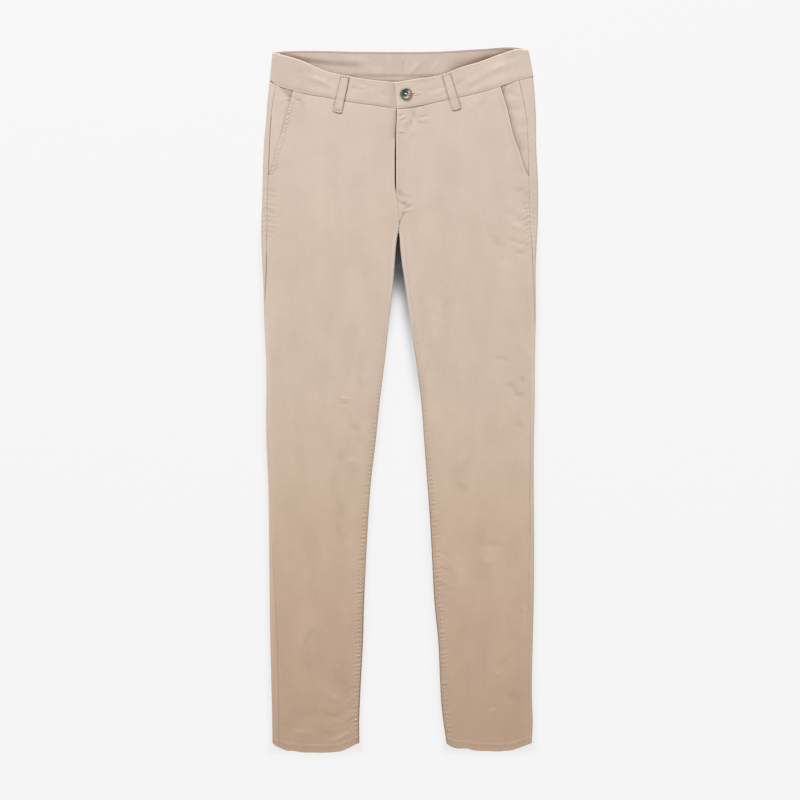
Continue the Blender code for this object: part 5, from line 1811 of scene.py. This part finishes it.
@dataclass
class FrontLoop:
    """A belt loop sewn to the band's top edge and below its seam."""

    leg: Leg
    top: Point
    foot: Point
    width: float = 11.0

    def face(self, x: Array, y: Array) -> Array:
        """Height of whatever the loop lies on: the band, or the panel below it."""
        on_band = y > self.leg.band_seam(x) - 1.3
        return np.where(on_band, Drape.band_at(self.leg, x, y), Drape.front(self.leg, x, y))

    def grid(self) -> Grid:
        """Points over the loop, from its top to its foot."""
        share = np.linspace(0.0, 1.0, 64)[:, None]
        side = np.sin(np.linspace(-math.pi / 2.0, math.pi / 2.0, 19))[None, :]
        run = math.dist(self.top, self.foot)
        along = ((self.foot[0] - self.top[0]) / run, (self.foot[1] - self.top[1]) / run)
        aside = (-along[1], along[0])
        flare = 0.2 + 0.4 * smoothstep(share / 0.4) + 0.65 * rise(share, 0.84, 0.12)
        half = self.width / 2.0 + flare
        x = self.top[0] + (self.foot[0] - self.top[0]) * share
        y = self.top[1] + (self.foot[1] - self.top[1]) * share
        heights = [self.face(x + aside[0] * half * s, y + aside[1] * half * s) for s in (-1.0, 0.0, 1.0)]
        kernel = np.hanning(11)
        padded = np.pad(np.max(heights, axis=0)[:, 0], 5, mode="edge")
        base = np.convolve(padded, kernel / kernel.sum(), mode="valid")[:, None]
        arch = 0.8 * np.sin(math.pi * np.clip(share / 0.9, 0.0, 1.0)) ** 0.8
        rounded = 2.2 * rise(share, 0.93, 0.07) * side ** 4
        px = x + aside[0] * half * side - along[0] * rounded
        py = y + aside[1] * half * side - along[1] * rounded
        edge = (1.0 - np.abs(side)) * half
        z = base + Drape.GAP + Drape.LOOP_CLOTH + arch - 0.5 * bell(edge / 0.7)
        z = z + 0.18 * bell((edge - 1.0) / 0.6) - 0.15 * bell((edge - 2.0) / 0.5)
        end = (1.0 - share) * run
        z = z - 0.45 * bell(end) - 0.35 * bell(end - 4.5)
        z = z + 0.10 * ripple(share * run, 3.0, 3.0 + self.leg.sign) * (1.0 - side * side)
        # Paler just inside the loop's folded edges and near its foot, darker right at the edges: painted
        # highlight on the rounded folds and painted shade where they turn under.
        tone = 0.45 * bell((edge - 0.9) / 0.6) - 0.35 * bell(edge / 0.3) + 0.2 * bell((end - 1.5) / 1.2)
        return Grid.spread(px, py, z, tone + 0.08)

    def make(self, workshop: Workshop) -> None:
        word = f"belt_loop_front_{self.leg.word}"
        rests = [f"waistband_{self.leg.word}_cloth", f"front_{self.leg.word}_cloth"]
        grid = self.grid()
        workshop.cloth(
            word, grid, True, (0.0155, 0.0575), rests, workshop.finishes.band, BAND_SLOT, Drape.LOOP_CLOTH,
            min(grid.area(), 0.00088),
        )
        edges = [grid.column(column, Sewing.LIFT)[2:-2] for column in (4.0, 14.0)]
        tacks = [zigzag(grid.row(row, 0.16)[3:-3], 0.9, 1.8) for row in (2.6, 58.5)]
        sewing = workshop.sewing
        thread = workshop.finishes.thread
        sewing.lay(
            f"{word}_stitches", edges, Stitch.RUNNING, thread, pitch=2.6, stitch_length=1.9, thickness=0.5
        )
        sewing.lay(f"{word}_tacks", tacks, Stitch.CORD, thread, thickness=0.42)


@dataclass
class BackLoop:
    """A belt loop pressed flat between the back band and the surface."""

    word: str
    x: float
    width: float = 12.5

    def make(self, workshop: Workshop) -> None:
        high = float(BACK_TOP(self.x)) - 0.5
        low = float(BACK_SEAM(self.x)) - 17.0
        y = np.linspace(low, high, 40)[:, None]
        side = np.sin(np.linspace(-math.pi / 2.0, math.pi / 2.0, 15))[None, :]
        edge = (1.0 - np.abs(side)) * self.width / 2.0
        z = 0.22 * bell(edge / 0.6) + 0.10 * bell((edge - 2.0) / 0.5)
        tone = 0.25 * bell((edge - 1.0) / 0.6) - 0.2 * bell((edge - 2.0) / 0.5)
        workshop.cloth(
            f"belt_loop_back_{self.word}", Grid.spread(self.x + self.width / 2.0 * side, y, z, tone), True,
            (self.width * MM, (high - low) * MM), ["floor"], workshop.finishes.band, BAND_SLOT,
            Drape.LOOP_CLOTH - 0.1,
        )


@dataclass
class Button:
    """The two-hole waist button, the thread that holds it, and its buttonhole."""

    turn: float = -22.0
    hole_radius: float = 1.15
    hole_spacing: float = 4.4
    sides: int = 72
    slot_at: Point = (22.5, 460.4)
    slot_turn: float = 6.0

    PROFILE = (
        (6.6, 0.0), (7.6, 0.13), (8.4, 0.47), (8.85, 0.95), (9.0, 1.45), (8.92, 1.9), (8.6, 2.3),
        (8.1, 2.55), (7.55, 2.62), (7.1, 2.55), (6.75, 2.4), (6.5, 2.15), (6.3, 1.85), (6.0, 1.66),
        (5.2, 1.55), (4.0, 1.48), (2.0, 1.45),
    )

    def disc(self, workshop: Workshop, base: float) -> Made:
        """The turned button with its two holes drilled."""
        rings = np.array(self.PROFILE)
        angle = np.linspace(0.0, math.tau, self.sides, endpoint=False)
        points = [(0.0, 0.0, 0.0), (0.0, 0.0, rings[-1, 1])]
        for radius, height in rings:
            points += [(radius * math.cos(a), radius * math.sin(a), height) for a in angle]
        points = np.array(points) + np.array([*BUTTON_AT, base])
        faces = []
        last = 2 + (len(rings) - 1) * self.sides
        for step in range(self.sides):
            after = (step + 1) % self.sides
            faces.append((0, 2 + after, 2 + step))
            faces.append((last + step, last + after, 1))
            for ring in range(len(rings) - 1):
                low = 2 + ring * self.sides
                high = low + self.sides
                faces.append((low + step, low + after, high + after, high + step))
        mesh = bpy.data.meshes.new("button_blank")
        mesh.from_pydata(workshop.place(points).tolist(), [], faces)
        blank = workshop.link("button_blank", mesh, workshop.finishes.resin)
        drills = []
        for x, y in self.holes():
            bpy.ops.mesh.primitive_cylinder_add(vertices=20, radius=self.hole_radius * MM, depth=0.02)
            drill = bpy.context.active_object
            drill.data.transform(Matrix.Translation(workshop.place([x, y, base])[0].tolist()))
            drills.append(drill)
            cut = blank.modifiers.new("hole", "BOOLEAN")
            cut.object = drill
            cut.solver = "EXACT"
        graph = bpy.context.evaluated_depsgraph_get()
        drilled = bpy.data.meshes.new_from_object(blank.evaluated_get(graph), depsgraph=graph)
        for old in (blank, *drills):
            bpy.data.objects.remove(old, do_unlink=True)
        drilled.name = "button_disc"
        made = workshop.link("button_disc", drilled, workshop.finishes.resin)
        drilled.polygons.foreach_set("use_smooth", np.ones(len(drilled.polygons), bool))
        drilled.set_sharp_from_angle(angle=math.radians(35.0))
        return made

    def holes(self) -> list[Point]:
        """Plan centres of the two holes."""
        step = self.hole_spacing / 2.0
        turn = math.radians(self.turn)
        return [
            (BUTTON_AT[0] + side * step * math.cos(turn), BUTTON_AT[1] + side * step * math.sin(turn))
            for side in (-1, 1)
        ]

    def make(self, workshop: Workshop) -> None:
        """Build the button, its thread and its buttonhole."""
        base = float(Drape.band(LEFT, *(np.array(at) for at in (*BUTTON_AT, 0.6)))) - 0.3
        workshop.declare(self.disc(workshop, base), "button_resin", "button")
        (ax, ay), (bx, by) = self.holes()
        t = np.linspace(0.0, 1.0, 15)
        dip = 2.2 * (1.0 - np.sin(math.pi * t) ** 0.8)
        strands = []
        for offset in (-0.55, -0.18, 0.2, 0.55):
            x = ax + (bx - ax) * t - (by - ay) / self.hole_spacing * offset
            y = ay + (by - ay) * t + (bx - ax) / self.hole_spacing * offset
            strands.append(np.stack([x, y, base + 2.0 - dip + 0.12 * (offset > 0.0)], axis=-1))
        sewing = workshop.sewing
        finishes = workshop.finishes
        sewing.lay("button_thread", strands, Stitch.CORD, finishes.white, thickness=0.5)

        angle = np.linspace(0.0, math.tau, 90, endpoint=False)[:, None]
        even = np.arange(90)[:, None] % 2 == 0
        reach = np.where(even, [[0.55, 1.0]], [[1.0, 0.55]])
        x, y = self.in_slot(7.4 * np.cos(angle) * (0.82 + 0.18 * reach), 2.3 * np.sin(angle) * reach)
        edge = np.stack([x.ravel(), y.ravel(), Drape.band_at(LEFT, x, y).ravel() + 0.22], axis=-1)
        sewing.lay("buttonhole_stitches", [edge], Stitch.CORD, finishes.cream, thickness=0.7)
        along = np.linspace(-6.4, -0.6, 14)[:, None]
        wide = 0.2 + 0.9 * bell((along + 3.9) / 1.3)
        x, y = self.in_slot(along, np.linspace(-1.0, 1.0, 7)[None, :] * wide)
        # The slit is a near-black sheet with tone -1.2: painted shadow in the buttonhole.
        grid = Grid.spread(x, y, Drape.band_at(LEFT, x, y) + 0.05, -1.2)
        workshop.declare(workshop.shell("buttonhole_slit", grid, 0.3, True, finishes.painted_shadow), BAND_SLOT)

    def in_slot(self, along: Array, across: Array) -> tuple[Array, Array]:
        """Plan points by their place along and across the buttonhole, from its centre."""
        turn = math.radians(self.slot_turn)
        x = self.slot_at[0] + along * math.cos(turn) - across * math.sin(turn)
        return x, self.slot_at[1] + along * math.sin(turn) + across * math.cos(turn)


# ------------------------------------------------------------------ studio


@dataclass(frozen=True)
class Studio:
    """A pale floor, soft lights and the camera straight above."""

    lens: float = 100.0
    sensor: float = 36.0
    picture_width: float = 1.2
    garment_plane: float = 0.005

    def camera(self, workshop: Workshop) -> None:
        """Hang the camera over the middle of the picture."""
        data = bpy.data.cameras.new("overhead")
        data.lens = self.lens
        data.sensor_width = self.sensor
        data.clip_end = 20.0
        made = bpy.data.objects.new("overhead", data)
        middle = workshop.place([0.0, 1.2, 0.0])[0]
        height = self.picture_width * self.lens / self.sensor + self.garment_plane
        made.location = (float(middle[0]), float(middle[1]), height)
        bpy.context.scene.collection.objects.link(made)
        bpy.context.scene.camera = made

    @staticmethod
    def soft_box(name: str, at: Colour, size: float, power: float, colour: Colour) -> None:
        """Add one square light that faces the garment.

        Args:
            name: Its name.
            at: Where it hangs.
            size: The side of its square.
            power: Its power in watts.
            colour: Its colour.
        """
        data = bpy.data.lights.new(name, "AREA")
        data.size = size
        data.energy = power
        data.color = colour
        made = bpy.data.objects.new(name, data)
        made.location = at
        made.rotation_euler = (-Vector(at)).to_track_quat("-Z", "Y").to_euler()
        bpy.context.scene.collection.objects.link(made)

    @staticmethod
    def dimness(x: Array, y: Array) -> Array:
        """Painted shadow of the garment on the floor at each point: close to its edges, and deep in the fork.
        """
        low, high = RIGHT.inner(y), LEFT.inner(y)
        inside = (x > low - 5.0) & (x < high + 5.0) & (y < Drape.FORK[1] + 8.0)
        right = RIGHT_SHADOW(y) * np.exp(-np.clip(x - low, 0.0, None) / 6.0)
        left = LEFT_SHADOW(y) * (y < 200.0) * bell(np.clip(high - x, 0.0, None) / 10.0)
        fork = np.where(inside, 1.0 - FORK_LIGHT(y) * (1.0 - right) * (1.0 - left), 0.0)
        outer = np.where(y < 300.0, np.maximum(RIGHT.outer(y) - x, x - LEFT.outer(y)), -1.0)
        past = np.maximum(outer, np.where(inside, np.minimum(x - low, high - x), -1.0))
        below = np.clip(Drape.HEM - 9.0 - y, 0.0, None)
        away = np.where(y < Drape.HEM - 5.0, np.hypot(np.clip(past, 0.0, None), below), np.abs(past))
        edge = 0.08 * bell(away / 6.5) * (1.0 - rise(y, 190.0, 120.0))
        return np.maximum(fork, edge)

    def floor(self, workshop: Workshop) -> None:
        """Lay the pale floor, which glows evenly, and whose tone carries the garment's painted soft shadow.
        """
        wide = np.unique(np.concatenate([
            [-6000.0, -1500.0, -500.0, -320.0], np.arange(-260, 261, 4), [320.0, 500.0, 1500.0, 6000.0],
            np.arange(-42, 43, 1.5), np.arange(-69, 73, 3),
        ]))
        tall = np.unique(np.concatenate([
            [-6000.0, -1500.0, -800.0, -620.0], np.arange(-580, 320, 4),
            [380.0, 560.0, 800.0, 1500.0, 6000.0], np.arange(80, 262, 2),
        ]))
        x, y = np.meshgrid(wide, tall)
        recipe = Recipe("floor_paper")
        # The floor's glow and colour are dimmed by the painted shadow in its tone.
        light = (recipe.tone() + 1.0).above(0.0)
        black = (0.0, 0.0, 0.0)
        paper = recipe.surface(
            emission_color=recipe.blend(light, black, (1.0, 1.0, 1.0)), emission_strength=0.856,
            base_color=recipe.blend(light, black, (0.06, 0.06, 0.06)), roughness=0.95, specular_ior_level=0.0,
        )
        made = workshop.shell("floor", Grid.spread(x, y, -0.6, -self.dimness(x, y)), 0.0, False, paper)
        made.modifiers.clear()

    def make(self, workshop: Workshop) -> None:
        """Set up camera, lights, sky and floor."""
        self.camera(workshop)
        self.soft_box("key", (-1.1, 2.75, 1.9), 1.8, 124.0, (1.0, 0.995, 0.985))
        self.soft_box("fill", (2.3, 0.2, 2.4), 2.0, 36.0, (0.98, 0.99, 1.0))
        world = bpy.data.worlds.new("studio")
        world.use_nodes = True
        sky = world.node_tree.nodes["Background"].inputs
        sky["Color"].default_value = (1.0, 1.0, 1.0, 1.0)
        sky["Strength"].default_value = 0.36
        bpy.context.scene.world = world
        bpy.context.scene.view_settings.view_transform = "Standard"
        self.floor(workshop)


def main() -> None:
    """Build the studio, then the garment piece by piece."""
    workshop = Workshop()
    Studio().make(workshop)
    for leg in LEGS:
        Half(leg).make(workshop)
        Facing(leg).make(workshop)
        log.info("wearer's %s half done", leg.word)
    FlyShield().make(workshop)
    Waistband().make(workshop)
    Lining().make(workshop)
    for leg, (top, foot) in zip(LEGS, Drape.LOOPS):
        FrontLoop(leg, top, foot).make(workshop)
    for word, x in (("right", -100.0), ("centre", 5.5), ("left", 110.0)):
        BackLoop(word, x).make(workshop)
    Button().make(workshop)
    log.info("waist done")


if __name__ == "__main__":
    main()
